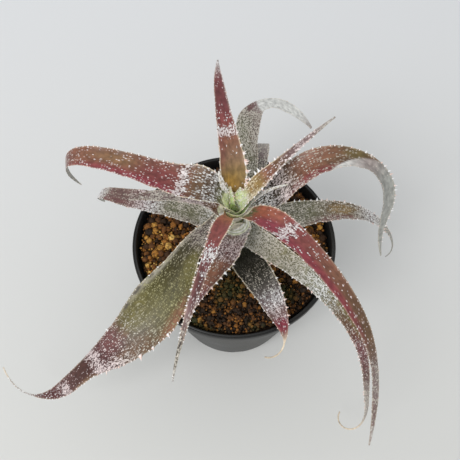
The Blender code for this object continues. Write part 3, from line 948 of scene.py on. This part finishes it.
spine_horn, tree, shader = new_material("spine_horn", Specular_IOR_Level=0.4)
place = node(tree, "TexCoord").outputs["Object"]
tint = node(tree, "TexNoise", {"Vector": place, "Scale": 420.0, "Detail": 2.0}).outputs["Fac"]
pale_horn, rosy_horn = (*skin_colour(238, 232, 222), 1), (*skin_colour(212, 184, 172), 1)
horn = blend_colours(tree, ramp(tree, tint, 0.4, 0.66), pale_horn, rosy_horn)
feed(tree, shader, horn, ramp(tree, tint, 0.2, 0.8, 0.4, 0.6), tint, 0.00005)
print("spine finish ready")


# %% [markdown]
# ## Leaf colours and scurf
#
# The leaf's skin is coloured green to brick red, and covered with scurf: tiny silvery scales, sparse where
# the leaf is glossy and so dense in places that they form frosty white bands. Colour is painted onto the
# mesh: stations along the leaf give the ground colour, and soft patches add a crimson margin or a band. The
# scales are far too small for the mesh, so a node group draws them. It divides the leaf's skin into cells
# about 1.4 mm along the leaf and 0.65 mm across it, with one scale in a cell or none: a random number per
# cell, compared with the painted cover, decides which. Where cover is high the scales also grow until
# they touch. The cells are laid out in leaf millimetres, so they follow the leaf round every curve.

# %% The scurf group
CELLS = (0.70, 1.55)                  # scale cells per mm, along and across the leaf

scurf, enter, leave = new_group(
    "scurf",
    {"Place": "Vector", "Paint": "Color", "Frost": "Color", "Cover": "Float"},
    {"Color": "Color", "Roughness": "Float", "Height": "Float"})


def leaf_noise(scale, size, detail=1.0, output="Fac"):
    """Noise on leaf millimetres, stretched along or across the leaf by scale."""
    placed = node(scurf, "Mapping", {"Vector": enter["Place"], "Scale": scale}).outputs["Vector"]
    inputs = {"Vector": placed, "Scale": size, "Detail": detail}
    return node(scurf, "TexNoise", inputs).outputs[output]


clouds = leaf_noise((0.7, 1.0, 1.0), 0.30, 2.0)
bars = leaf_noise((1.0, 0.12, 1.0), 0.6, 1.0)
veins = leaf_noise((0.04, 1.0, 1.0), 1.5, 1.0)
mottle = leaf_noise((0.8, 1.0, 1.0), 0.45, 3.0)
wobble = leaf_noise((1.0, 1.0, 1.0), 1.9, 1.0, "Color")
specks = leaf_noise((0.8, 1.0, 1.0), 1.25, 1.0)

# Cover rises and falls a little in clouds and bars, but stays where it is when it is none or all.
cloudy, barred = (arithmetic(scurf, "MULTIPLY", arithmetic(scurf, "SUBTRACT", noise, 0.5), amount)
                  for noise, amount in ((clouds, 2.6), (bars, 1.6)))
swing = arithmetic(scurf, "ADD", cloudy, barred)
room = arithmetic(scurf, "MULTIPLY", enter["Cover"], arithmetic(scurf, "SUBTRACT", 1.0, enter["Cover"]))
cover = arithmetic(scurf, "ADD", enter["Cover"], arithmetic(scurf, "MULTIPLY", swing, room), clamp=True)

pushed = node(scurf, "VectorMath", {0: wobble, 1: (0.6, 0.6, 0.0)}, operation="MULTIPLY").outputs[0]
pushed = node(scurf, "VectorMath", {0: enter["Place"], 1: pushed}, operation="ADD").outputs[0]
celled = node(scurf, "Mapping", {"Vector": pushed, "Scale": (*CELLS, 1.0)}).outputs["Vector"]
cells = node(scurf, "TexVoronoi", {"Vector": celled, "Scale": 1.0, "Randomness": 0.9},
             voronoi_dimensions="2D", feature="F1").outputs
dice = node(scurf, "SeparateColor", {"Color": cells["Color"]}).outputs
# A scale of radius r, with its soft edge, counts as 2.7 r^2 of its cell, so cover / 2.7 r^2 of them have one.
haze = ramp(scurf, cover, 0.15, 0.75)
loose = arithmetic(scurf, "MULTIPLY", cover, ramp(scurf, haze, 0.0, 1.0, 1.0, 0.6))
radius = ramp(scurf, cover, 0.0, 1.0, 0.36, 0.80)
disc = arithmetic(scurf, "MULTIPLY", arithmetic(scurf, "MULTIPLY", radius, radius), 2.7)
holds = arithmetic(scurf, "DIVIDE", loose, disc)
present = arithmetic(scurf, "GREATER_THAN", holds, dice["Red"])
size = arithmetic(scurf, "MULTIPLY", radius, ramp(scurf, dice["Green"], 0.0, 1.0, 0.65, 1.3))
inside = arithmetic(scurf, "SUBTRACT", size, cells["Distance"])
scales = arithmetic(scurf, "MULTIPLY", ramp(scurf, inside, -0.08, 0.2), present)
strength = ramp(scurf, dice["Blue"], 0.0, 1.0, 0.35, 1.1)
dust = ramp(scurf, arithmetic(scurf, "MULTIPLY_ADD", haze, 0.10, specks), 0.49, 0.63)
dust = arithmetic(scurf, "MULTIPLY", arithmetic(scurf, "MULTIPLY", dust, ramp(scurf, haze, 0.0, 0.5)), 0.7)
visible = arithmetic(scurf, "MAXIMUM", arithmetic(scurf, "MULTIPLY", scales, strength), dust)

ground = blend_colours(scurf, 1.0, enter["Paint"], ramp(scurf, mottle, 0.25, 0.75, 0.72, 1.24), "MULTIPLY")
ground = blend_colours(scurf, 1.0, ground, ramp(scurf, veins, 0.3, 0.7, 0.93, 1.06), "MULTIPLY")
ground = blend_colours(scurf, 1.0, ground, ramp(scurf, haze, 0.0, 0.6, 1.0, 0.66), "MULTIPLY")
scurf.links.new(blend_colours(scurf, visible, ground, enter["Frost"]), leave["Color"])
scurf.links.new(ramp(scurf, visible, 0.0, 1.0, 0.36, 0.85), leave["Roughness"])
scurf.links.new(arithmetic(scurf, "MULTIPLY_ADD", veins, 0.35, visible), leave["Height"])
print("scurf group nodes:", len(scurf.nodes))


# %% Leaf materials
def leaf_material(name, shine):
    """A leaf skin: the painted colour and cover go through the scurf group into the shader."""
    material, tree, shader = new_material(name, Specular_IOR_Level=shine)
    inputs = {
        "Place": node(tree, "Attribute", attribute_name="leaf_mm").outputs["Vector"],
        "Paint": node(tree, "Attribute", attribute_name="paint").outputs["Color"],
        "Frost": node(tree, "Attribute", attribute_name="frost").outputs["Color"],
        "Cover": node(tree, "Attribute", attribute_name="cover").outputs["Fac"],
    }
    out = place_group(tree, scurf, inputs)
    feed(tree, shader, out["Color"], out["Roughness"], out["Height"], 0.00012)
    return material


leaf_skin = leaf_material("leaf_skin", 0.28)
young_skin = leaf_material("young_leaf_skin", 0.25)
print("leaf materials ready")

# %% [markdown]
# The palette names the colours of the plant. A look lists the ground colours at even stations from foot to
# tip, the frost colours and the scurf's cover in the same way, and then patches. A patch is a colour (or
# none), how strong it is, where it lies along the leaf and how far it reaches, where it lies across and how
# wide it is, and how much cover it adds. Across runs from -1 at the right margin to 1 at the left one, as the
# leaf grows. A collar is the pale part that clasps the stem, with a light curved edge, and crescents are more
# such lines beyond it. A turned leaf shows its other colours past a slanting line, and grain makes its scurf
# finer. The looks were typed by hand, guided by mean colours that a scratch script measured at eleven even
# stations of each leaf, which is why the lists have eleven entries.

# %% Palette
SHADES = {
    "leaf_green": (140, 152, 96), "pale_green": (186, 196, 150), "deep_green": (62, 72, 40),
    "lime": (214, 222, 176), "sprout": (190, 208, 150), "lichen": (102, 100, 79),
    "pale_lichen": (120, 116, 95), "dark_lichen": (74, 68, 48), "moss": (98, 92, 51),
    "dark_moss": (68, 62, 31), "ochre": (134, 110, 68), "mustard": (150, 118, 58), "tan": (136, 106, 82),
    "rust": (126, 86, 68), "terracotta": (144, 86, 66), "umber": (104, 78, 58), "bark": (98, 84, 68),
    # The first, near-black colour on the next line is painted shade, not a colour of the plant: it is used
    # only where leaf bases lie in deep shadow.
    "soot": (39, 37, 30), "slate": (74, 69, 64), "brick": (124, 68, 64), "claret": (112, 62, 63),
    "crimson": (124, 46, 60), "maroon": (106, 66, 66), "wine": (90, 58, 56), "oxblood": (74, 45, 39),
    "plum": (108, 84, 80), "mauve": (122, 102, 100), "lilac": (112, 98, 98), "ash": (144, 134, 130),
    "grey": (143, 143, 138), "pale_grey": (190, 184, 168), "pearl": (192, 192, 188),
    "cream": (206, 194, 168), "straw": (204, 188, 166), "white": (226, 219, 217), "rose": (208, 194, 192),
    "silver": (190, 184, 173), "dun": (168, 160, 147), "sage": (154, 149, 116), "pewter": (92, 88, 80),
}
PALETTE = {name: skin_colour(*shade) for name, shade in SHADES.items()}


def stations(names):
    """The colours of a list of names."""
    return [PALETTE[name] for name in names.split()]


print("colours:", len(PALETTE))

# %% Looks of the leaves
LOOKS = {
    "leaf_back_upright": dict(
        ground="leaf_green ochre ochre tan rust brick claret claret claret mauve ash",
        shade=(1, 0.9, 0.84, 0.78, 0.85, 0.9, 0.8, 0.74, 0.85, 1, 1),
        frost="white white white white rose white rose rose rose rose white",
        cover=(0.05, 0.01, 0, 0, 0.06, 0.2, 0.07, 0.03, 0.08, 0.3, 0.5),
        patches=[(None, 0, 0.45, 0.03, 0, 3, 0.5), ("ash", 0.3, 0.75, 0.22, -1, 0.3, 0.2),
                 ("mustard", 0.8, 0.14, 0.06, 0.4, 0.8, 0), ("brick", 0.5, 0.36, 0.12, 1, 0.6, 0)]),
    "leaf_left_arching": dict(
        ground="leaf_green dark_lichen umber brick brick rust rust rust plum pearl pearl",
        shade=(1, 1, 0.9, 0.75, 0.72, 0.72, 0.72, 0.8, 1.1, 1, 1),
        frost="white white white rose rose rose rose rose silver silver white",
        cover=(0.2, 0.28, 0.26, 0.12, 0.12, 0.1, 0.08, 0.08, 0.15, 0.3, 0.5),
        patches=[("crimson", 0.75, 0.50, 0.27, 1, 0.6, 0.1), ("ochre", 0.3, 0.55, 0.11, -0.3, 0.45, -0.02),
                 ("umber", 0.4, 0.42, 0.2, -0.9, 0.5, 0), (None, 0, 0.25, 0.022, 0.1, 2, 0.5)],
        collar=(6.5, 3, "pale_green", 0.2)),
    "leaf_left_low": dict(
        grain=1.2, ground="pale_lichen pale_lichen lichen lichen lichen plum plum plum plum mauve ash",
        shade=(1, 1.15, 1.1, 1, 1, 1, 1, 0.85, 0.85, 1, 1),
        frost="white white silver silver silver white rose dun dun white white",
        cover=(0.4, 0.5, 0.4, 0.34, 0.42, 0.52, 0.42, 0.2, 0.2, 0.7, 0.7),
        patches=[("plum", 0.5, 0.3, 0.3, 1, 0.4, 0.08), ("maroon", 0.6, 0.74, 0.12, 0.8, 0.5, -0.05),
                 (None, 0, 0.22, 0.12, -1, 0.5, 0.25)]),
    "leaf_left_short": dict(
        grain=1.2, ground="cream umber umber plum plum plum mauve mauve plum plum plum",
        frost="white rose rose rose rose silver silver silver silver silver silver",
        cover=(0.3, 0.3, 0.35, 0.42, 0.45, 0.45, 0.5, 0.45, 0.36, 0.32, 0.3),
        shade=(1, 1, 1, 1, 1, 1, 0.95, 0.9, 0.8, 0.75, 0.75),
        patches=[("claret", 0.8, 0.42, 0.12, -1, 0.7, -0.15), (None, 0, 0.42, 0.24, 1, 0.45, 0.4)],
        collar=(4.5, 3, "pale_grey", 0.2)),
    "leaf_front_left_broad": dict(
        grain=1.2, ground="dark_lichen dark_lichen dark_moss moss bark wine oxblood wine wine ash straw",
        shade=(1, 0.72, 0.74, 0.7, 0.62, 0.68, 0.72, 0.76, 0.85, 1, 1),
        frost="silver dun sage sage silver rose rose rose white white white",
        cover=(0.35, 0.26, 0.22, 0.24, 0.21, 0.17, 0.04, 0.12, 0.16, 0.4, 0.3),
        patches=[("moss", 0.8, 0.17, 0.06, 0.6, 0.5, -0.05), ("rust", 0.8, 0.30, 0.06, 0.95, 0.35, -0.05),
                 ("moss", 0.7, 0.36, 0.07, -0.5, 0.6, 0), ("umber", 0.6, 0.42, 0.07, 0.7, 0.5, 0.05),
                 ("maroon", 0.6, 0.46, 0.05, -0.5, 0.7, 0), (None, 0, 0.545, 0.022, -0.1, 1.5, 0.45),
                 (None, 0, 0.50, 0.06, 0.9, 0.5, 0.35), ("umber", 0.8, 0.60, 0.06, 1.0, 0.35, 0),
                 (None, 0, 0.70, 0.022, 0.3, 0.8, 0.5), ("pale_grey", 0.8, 0.19, 0.16, -1, 0.22, 0.2),
                 ("lilac", 0.7, 0.06, 0.05, 0.0, 1.4, 0.2),
                 # Painted shadows: the row of small dark slate spots along the right margin stands for the
                 # shadows of its spines.
                 *[("slate", 0.9, 0.06 + 0.036 * k, 0.012, -0.93, 0.08, -0.35) for k in range(9)]],
        collar=(4.5, 3, "pale_grey", 0.2)),
    "leaf_front_slender": dict(
        ground="tan terracotta brick brick claret wine wine plum slate slate ash",
        shade=(1.6, 1.35, 1.1, 1, 1, 0.9, 0.9, 0.9, 1, 1, 1),
        frost="rose rose rose white white white rose silver silver silver white",
        cover=(0.0, 0.0, 0.0, 0.04, 0.34, 0.2, 0.22, 0.28, 0.45, 0.5, 0.6),
        patches=[(None, 0, 0.385, 0.03, 0.6, 1.2, 0.5), ("claret", 0.3, 0.58, 0.14, -1, 0.7, -0.2)],
        collar=(3, 3, "sprout", 0.1)),
    "leaf_front_short": dict(
        grain=1.15, ground="pale_grey lilac mauve maroon plum rust rust maroon wine mauve mauve",
        shade=(1, 0.9, 0.9, 0.8, 0.72, 0.6, 0.6, 0.7, 0.75, 0.75, 0.75),
        frost="white white rose rose rose dun dun rose rose rose rose",
        cover=(0.5, 0.45, 0.45, 0.4, 0.34, 0.2, 0.2, 0.22, 0.24, 0.26, 0.3),
        # Painted shade: the oxblood patch on the left side halfway is partly the leaf's own dark tone and
        # partly the shadow of the leaf above it, and the umber patch in the middle near the foot is painted
        # shadow.
        patches=[("rust", 0.6, 0.5, 0.12, 0.3, 0.7, 0), ("oxblood", 0.6, 0.5, 0.12, 0.9, 0.5, -0.12),
                 ("maroon", 0.7, 0.87, 0.17, -0.9, 0.7, -0.25),
                 ("rust", 0.5, 0.68, 0.06, 0, 0.6, -0.12), ("umber", 0.6, 0.15, 0.03, 0, 0.5, -0.15)],
        collar=(7.5, 4, "white", 0.05),
        crescents=((-3.6, "leaf_green"), (-2.4, "white"), (-1.2, "leaf_green"), (0, "lime"))),
    "leaf_front_lowest": dict(
        # Painted shade: the near-black base, the dark slate on either side of it and the dark grey frost
        # there stand for the deep shadow the base lies in under the leaves above.
        grain=1.3, ground="slate soot soot soot slate lilac plum claret straw straw straw",
        frost="dun pewter pewter dun silver white rose rose straw straw straw",
        cover=(0.3, 0.24, 0.25, 0.22, 0.26, 0.36, 0.36, 0.18, 0.02, 0.02, 0.02),
        shade=(1, 1, 1, 0.95, 0.8, 0.85, 0.8, 0.75, 0.9, 0.76, 0.76),
        patches=[("crimson", 0.55, 0.68, 0.045, 0, 1.5, -0.05), (None, 0, 0.55, 0.12, -0.9, 0.5, -0.18)]),
    "leaf_front_right_low": dict(
        grain=1.3,
        ground="pale_lichen pale_lichen pale_lichen pale_lichen umber maroon plum ash ash straw straw",
        shade=(1.1, 1.1, 1, 1, 0.8, 0.84, 0.76, 1, 1, 1, 1),
        frost="white silver silver white silver rose silver silver silver silver white",
        cover=(0.5, 0.52, 0.42, 0.44, 0.24, 0.26, 0.22, 0.5, 0.4, 0.2, 0.1),
        patches=[("moss", 0.6, 0.38, 0.1, 0.6, 0.5, -0.06), ("moss", 0.5, 0.17, 0.05, 0.7, 0.4, -0.05)]),
    "leaf_front_right_long": dict(
        ground="pale_grey terracotta brick brick rust umber umber plum mauve plum ash",
        shade=(1, 0.75, 0.95, 0.8, 0.68, 0.75, 0.8, 0.85, 0.85, 0.85, 0.85),
        frost="rose rose rose white rose rose rose silver silver silver white",
        cover=(0.05, 0.02, 0.03, 0.06, 0.05, 0.06, 0.12, 0.3, 0.32, 0.32, 0.3),
        patches=[("terracotta", 0.7, 0.16, 0.07, 0.6, 0.6, 0), ("crimson", 0.9, 0.20, 0.06, -0.6, 0.7, 0),
                 (None, 0, 0.25, 0.02, -0.2, 1.6, 0.6), ("crimson", 0.75, 0.38, 0.2, -0.9, 0.7, 0),
                 # The deep green patch near the foot is partly the green of the channel's base and partly
                 # painted shade, darkened for the shade in its hollow.
                 ("deep_green", 0.95, 0.092, 0.017, -0.2, 1.2, -0.05)],
        collar=(13, 1, "pale_grey", 0.1)),
    "leaf_right_low": dict(
        grain=1.25, ground="lichen lichen lichen lichen bark bark plum grey grey grey grey",
        frost="silver silver silver silver silver silver white silver silver dun dun",
        cover=(0.4, 0.4, 0.36, 0.34, 0.3, 0.36, 0.65, 0.65, 0.4, 0.3, 0.3),
        shade=(1, 0.6, 0.7, 0.9, 0.9, 0.9, 0.9, 0.9, 0.85, 0.85, 0.9),
        patches=[("maroon", 0.8, 0.40, 0.14, -1, 0.6, 0.03), ("ochre", 0.6, 0.44, 0.07, 0.2, 0.6, -0.06),
                 (None, 0, 0.58, 0.035, 0.2, 1.4, 0.5)]),
    "leaf_right_arching": dict(
        ground="cream bark bark rust umber umber umber grey grey grey grey",
        turned=(0.37, 0.54, "grey grey grey grey pearl ash grey grey grey grey grey", 0.02),
        shade=(1, 0.45, 0.5, 0.75, 0.8, 0.8, 1.1, 1.05, 0.97, 0.97, 1),
        frost="white white rose silver dun silver silver silver silver silver silver",
        cover=(0.4, 0.42, 0.36, 0.24, 0.16, 0.18, 0.2, 0.02, 0.02, 0.02, 0.02),
        patches=[("moss", 0.5, 0.46, 0.04, 0.5, 0.6, 0), ("rust", 0.5, 0.36, 0.06, 0.6, 0.6, 0),
                 ("crimson", 0.6, 0.31, 0.12, -0.9, 0.5, 0.12), (None, 0, 0.2, 0.025, -0.4, 0.8, 0.3),
                 ("slate", 0.25, 0.7, 0.1, -1, 0.6, 0)], collar=(4.5, 3, "pale_grey", 0.2)),
    "leaf_back_right_slender": dict(
        ground="leaf_green pale_green ochre ochre rust umber plum mauve mauve ash ash",
        frost="white white cream cream rose rose rose rose rose silver white",
        shade=(1, 1, 1, 0.95, 0.85, 0.8, 0.8, 0.9, 0.85, 0.8, 0.8),
        cover=(0.1, 0.3, 0.4, 0.27, 0.2, 0.18, 0.25, 0.4, 0.3, 0.24, 0.3),
        patches=[("cream", 0.5, 0.2, 0.1, -1, 0.6, 0.1), (None, 0, 0.5, 0.4, -1, 0.35, 0.3)]),
    "leaf_back_hooked": dict(
        grain=1.25, ground="pale_green lichen lichen lichen lichen lichen mauve mauve pearl pearl pearl",
        turned=(0.61, 0.65, "pearl pearl pearl pearl pearl pearl pearl pearl pearl pearl ash", 0.03),
        shade=(1, 1, 1, 1, 1, 1, 1, 1.05, 1.1, 1, 1),
        frost="silver silver silver silver silver silver silver pearl pearl pearl silver",
        cover=(0.3, 0.4, 0.42, 0.42, 0.42, 0.42, 0.45, 0.1, 0.1, 0.15, 0.3),
        patches=[("mauve", 0.7, 0.45, 0.16, -0.9, 0.8, 0.05), ("wine", 0.8, 0.60, 0.025, 0.7, 0.5, -0.4),
                 # Painted shade: the near-black patch across the base is the deep shadow it lies in.
                 ("soot", 0.9, 0.10, 0.07, 0, 3, -0.35)]),
    "leaf_back_low": dict(
        # Painted shade: the near-black stations and patch towards the base are the shadow of the leaves above
        # it, not its own colour.
        grain=1.25, ground="lichen lichen slate soot soot slate lilac ash ash ash slate",
        frost="silver silver silver dun silver silver silver silver silver dun dun",
        cover=(0.3, 0.3, 0.3, 0.3, 0.34, 0.38, 0.4, 0.4, 0.4, 0.3, 0.2),
        patches=[("soot", 0.9, 0.2, 0.12, 0, 3, -0.3)]),
}
assert set(LOOKS) == set(LEAVES)
print("looks:", len(LOOKS))


# %% Paint a leaf
COLLAR = (4.5, 3.0, "pale_green", 0.25)      # the collar's reach, its edge's bow, its colour and its cover


def paint_leaf(look, distance, share, across, across_mm, upper_face):
    """Ground colour, frost colour and cover at every ring point. A patch fades as exp(-(r^2)^2), where r is
    the distance from its middle in units of its reach along and its width across."""
    everywhere = share[:, None] + 0 * across
    shade = along(look.get("shade", (1, 1)), everywhere)[..., None]
    ground = along(stations(look["ground"]), everywhere) * shade
    frost = along(stations(look["frost"]), everywhere)
    cover = along(look["cover"], everywhere)
    for name, strength, at, reach, middle, width, more in look["patches"]:
        ragged = 0.008 * np.sin(9 * across + 90 * at) + 0.006 * np.sin(23 * across + 50 * at)
        r = ((share[:, None] + ragged - at) / reach) ** 2 + ((across - middle) / width) ** 2
        weight = np.exp(-(r**2))
        cover = cover + more * weight
        if name:
            ground = mix(ground, PALETTE[name], (strength * weight)[..., None])

    if "turned" in look:
        start, end, colours, specked = look["turned"]
        turned = smooth(-0.006, 0.006, share[:, None] - mix(start, end, 0.5 + 0.5 * across))
        ground = mix(ground, along(stations(colours), everywhere), turned[..., None])
        cover = mix(cover, specked, turned)

    reach, bow, name, frosted = look.get("collar", COLLAR)
    beyond = distance[:, None] - reach + bow * across**2
    pale = smooth(0.5, -0.7, beyond)
    ground = mix(ground, PALETTE[name], pale[..., None])
    cover = mix(cover, frosted, pale)
    for offset, edging in look.get("crescents", ((0, "lime"),)):
        line = np.exp(-(((beyond - offset) / 0.45) ** 2))
        ground = mix(ground, PALETTE[edging], 0.8 * line[..., None])

    left_half, right_half = across_mm[:, :1], -across_mm[:, BLADE_CORNERS // 2][:, None]
    from_edge = np.where(across > 0, left_half, right_half) * (1 - np.abs(across))
    pale_edge = smooth(0.65, 0.15, from_edge) * mix(0.9, 0.2, smooth(15, 50, distance))[:, None]
    ground = mix(ground, PALETTE["cream"], pale_edge[..., None])
    under = 0.5 - 0.5 * upper_face
    back = mix(PALETTE["grey"] * shade, PALETTE[name], pale[..., None])
    ground = mix(ground, back, under[..., None])
    frost = mix(frost, PALETTE["silver"], under[..., None])
    cover = np.clip(mix(cover, 0.35, under), 0, 0.97)
    one = np.ones_like(cover)[..., None]
    return np.concatenate([ground, one], -1), np.concatenate([frost, one], -1), cover


# %% Grow the leaves
def grow_leaf(name, habit, look, material, slot, seed):
    """One leaf and its spines, both tied to the frame."""
    rng = np.random.default_rng(seed)
    left_spots, right_spots = spine_places(habit, 1, rng), spine_places(habit, -1, rng)
    distance, points, across_mm, face = blade_rings(habit, 1.7 * seed, left_spots, right_spots)
    share = np.clip(distance / habit["length"], 0, 1)
    across = np.cos(circle(BLADE_CORNERS))[None] + 0 * across_mm
    ground, frost, cover = paint_leaf(look, distance, share, across, across_mm, face)
    grain = look.get("grain", 1)     # above one makes the flecks and the mottling finer
    along_mm = distance[:, None] + 0 * across_mm
    place = np.stack([grain * along_mm, grain * across_mm, 40.0 * seed + 9.0 * face], -1)
    shades = {"leaf_mm": place[None], "paint": ground[None], "frost": frost[None], "cover": cover[None]}
    blade = skin(name.replace("leaf", "blade"), points[None] * MM, [material], shades)
    settle(blade, slot, name)
    spines = [spine_rings(habit, 1.7 * seed, spots, side, rng)
              for spots, side in ((left_spots, 1), (right_spots, -1)) if len(spots[0])]
    if spines:
        rows = np.concatenate(spines) * MM
        settle(skin(name.replace("leaf", "spines"), rows, [spine_horn]), slot)
    return len(blade.data.polygons)


for seed, (name, habit) in enumerate(LEAVES.items(), start=1):
    faces = grow_leaf(name, habit, LOOKS[name], leaf_skin, "leaf_skin", seed)
    print(name, "faces:", faces)


# %% [markdown]
# ## The heart
#
# New leaves push up in the middle of the rosette: pale, soft and cupped round each other. They are made by
# the same functions with gentler settings, a shorter sheath and no crimson.

# %% Young and heart leaves
YOUNG = {
    "leaf_young_left": dict(
        height=110.5, length=18.5, bearing=(140, 108), climb=(72, 50), width=(3, 3.2, 2.6, 0.8),
        sheath=4, opens=4, wrap=70, thick=(0.5, 0.5), clear=0.9),
    "leaf_young_right": dict(
        height=108, length=29, bearing=(5, 3, 1), climb=(66, 50, 19), width=(5, 3.6, 2.6, 1.8, 0.8),
        sheath=7, opens=8, wrap=155, thick=(2.4, 0.8, 0.5), clear=1.8, cup=(60, 40)),
    "leaf_heart_1": dict(
        height=107.5, length=12, bearing=(62, 76), climb=(80, 72, 80), width=(4, 5.4, 4.6, 0.8),
        sheath=3, opens=4, wrap=60, thick=(0.6, 0.6), cup=(60, 50), clear=0.6),
    "leaf_heart_2": dict(
        height=107, length=11, bearing=(160, 140), climb=(78, 60), width=(4, 4.6, 0.8),
        sheath=3, opens=4, wrap=60, thick=(0.6, 0.6), cup=(60, 50), clear=0.6),
    "leaf_heart_3": dict(
        height=107.5, length=9.5, bearing=(20, 35), climb=(82, 72), width=(4, 3.4, 0.8),
        sheath=3, opens=4, wrap=60, thick=(0.5, 0.5), cup=(60, 50), clear=0.4),
    "leaf_heart_4": dict(
        height=107, length=14, bearing=(112, 104), climb=(82, 70), width=(3, 2.8, 0.8),
        sheath=3, opens=4, wrap=60, thick=(0.5, 0.5), cup=(60, 60), clear=-0.6),
    "leaf_heart_5": dict(
        height=106, length=9, bearing=(215, 160), climb=(84, 80), width=(2.4, 2.2, 0.8),
        sheath=3, opens=3, wrap=60, thick=(0.5, 0.5), cup=(70, 70), clear=-0.4),
}
YOUNG_LOOK = dict(
    ground="leaf_green sprout sprout sprout lime", cover=(0.1, 0.25, 0.3, 0.35, 0.4), frost="white white",
    patches=[], collar=(0, 1, "sprout", 0.1))
STRIP_LOOK = dict(
    ground="sprout sprout pale_grey pale_grey pale_grey", cover=(0.1, 0.4, 0.7, 0.75, 0.75),
    frost="white white", patches=[], collar=(5, 3, "sprout", 0.1))
for seed, (name, habit) in enumerate(YOUNG.items(), start=31):
    look = YOUNG_LOOK if "heart" in name else STRIP_LOOK
    print(name, "faces:", grow_leaf(name, habit, look, young_skin, "young_leaf_skin", seed))


# %% [markdown]
# ## The stem
#
# Little of the stem shows between the leaf bases. It is one tapering tube with the scars of shed leaves as
# low rings.

# %% Stem
STEM_SHOWN = 103                     # mm, where it is lost among the heart leaves
stem_bark, tree, shader = new_material("stem_bark")
place = node(tree, "TexCoord").outputs["Object"]
bark = node(tree, "TexNoise", {"Vector": place, "Scale": 320.0, "Detail": 4.0}).outputs["Fac"]
dark_bark, light_bark = (*colour(70, 52, 34), 1), (*colour(150, 124, 88), 1)
brown = blend_colours(tree, ramp(tree, bark, 0.35, 0.65), dark_bark, light_bark)
feed(tree, shader, brown, ramp(tree, bark, 0.2, 0.8, 0.6, 0.9), bark, 0.0003)
levels = np.linspace(STEM_HEIGHTS[0], STEM_SHOWN, 130)
scars = 0.22 * np.abs(np.sin(levels * 1.1)) ** 6
spine_line = np.array([stem_axis(height) for height in levels])
radii = stem_radius(levels) + scars * (levels > 79)
around = circle(28)
ring = np.stack([np.cos(around), np.sin(around), 0 * around], -1)
stem = skin("leafy_stem", (spine_line[:, None] + radii[:, None, None] * ring)[None] * MM, [stem_bark])
settle(stem, "stem_bark", "stem")
print("stem rings:", len(levels))
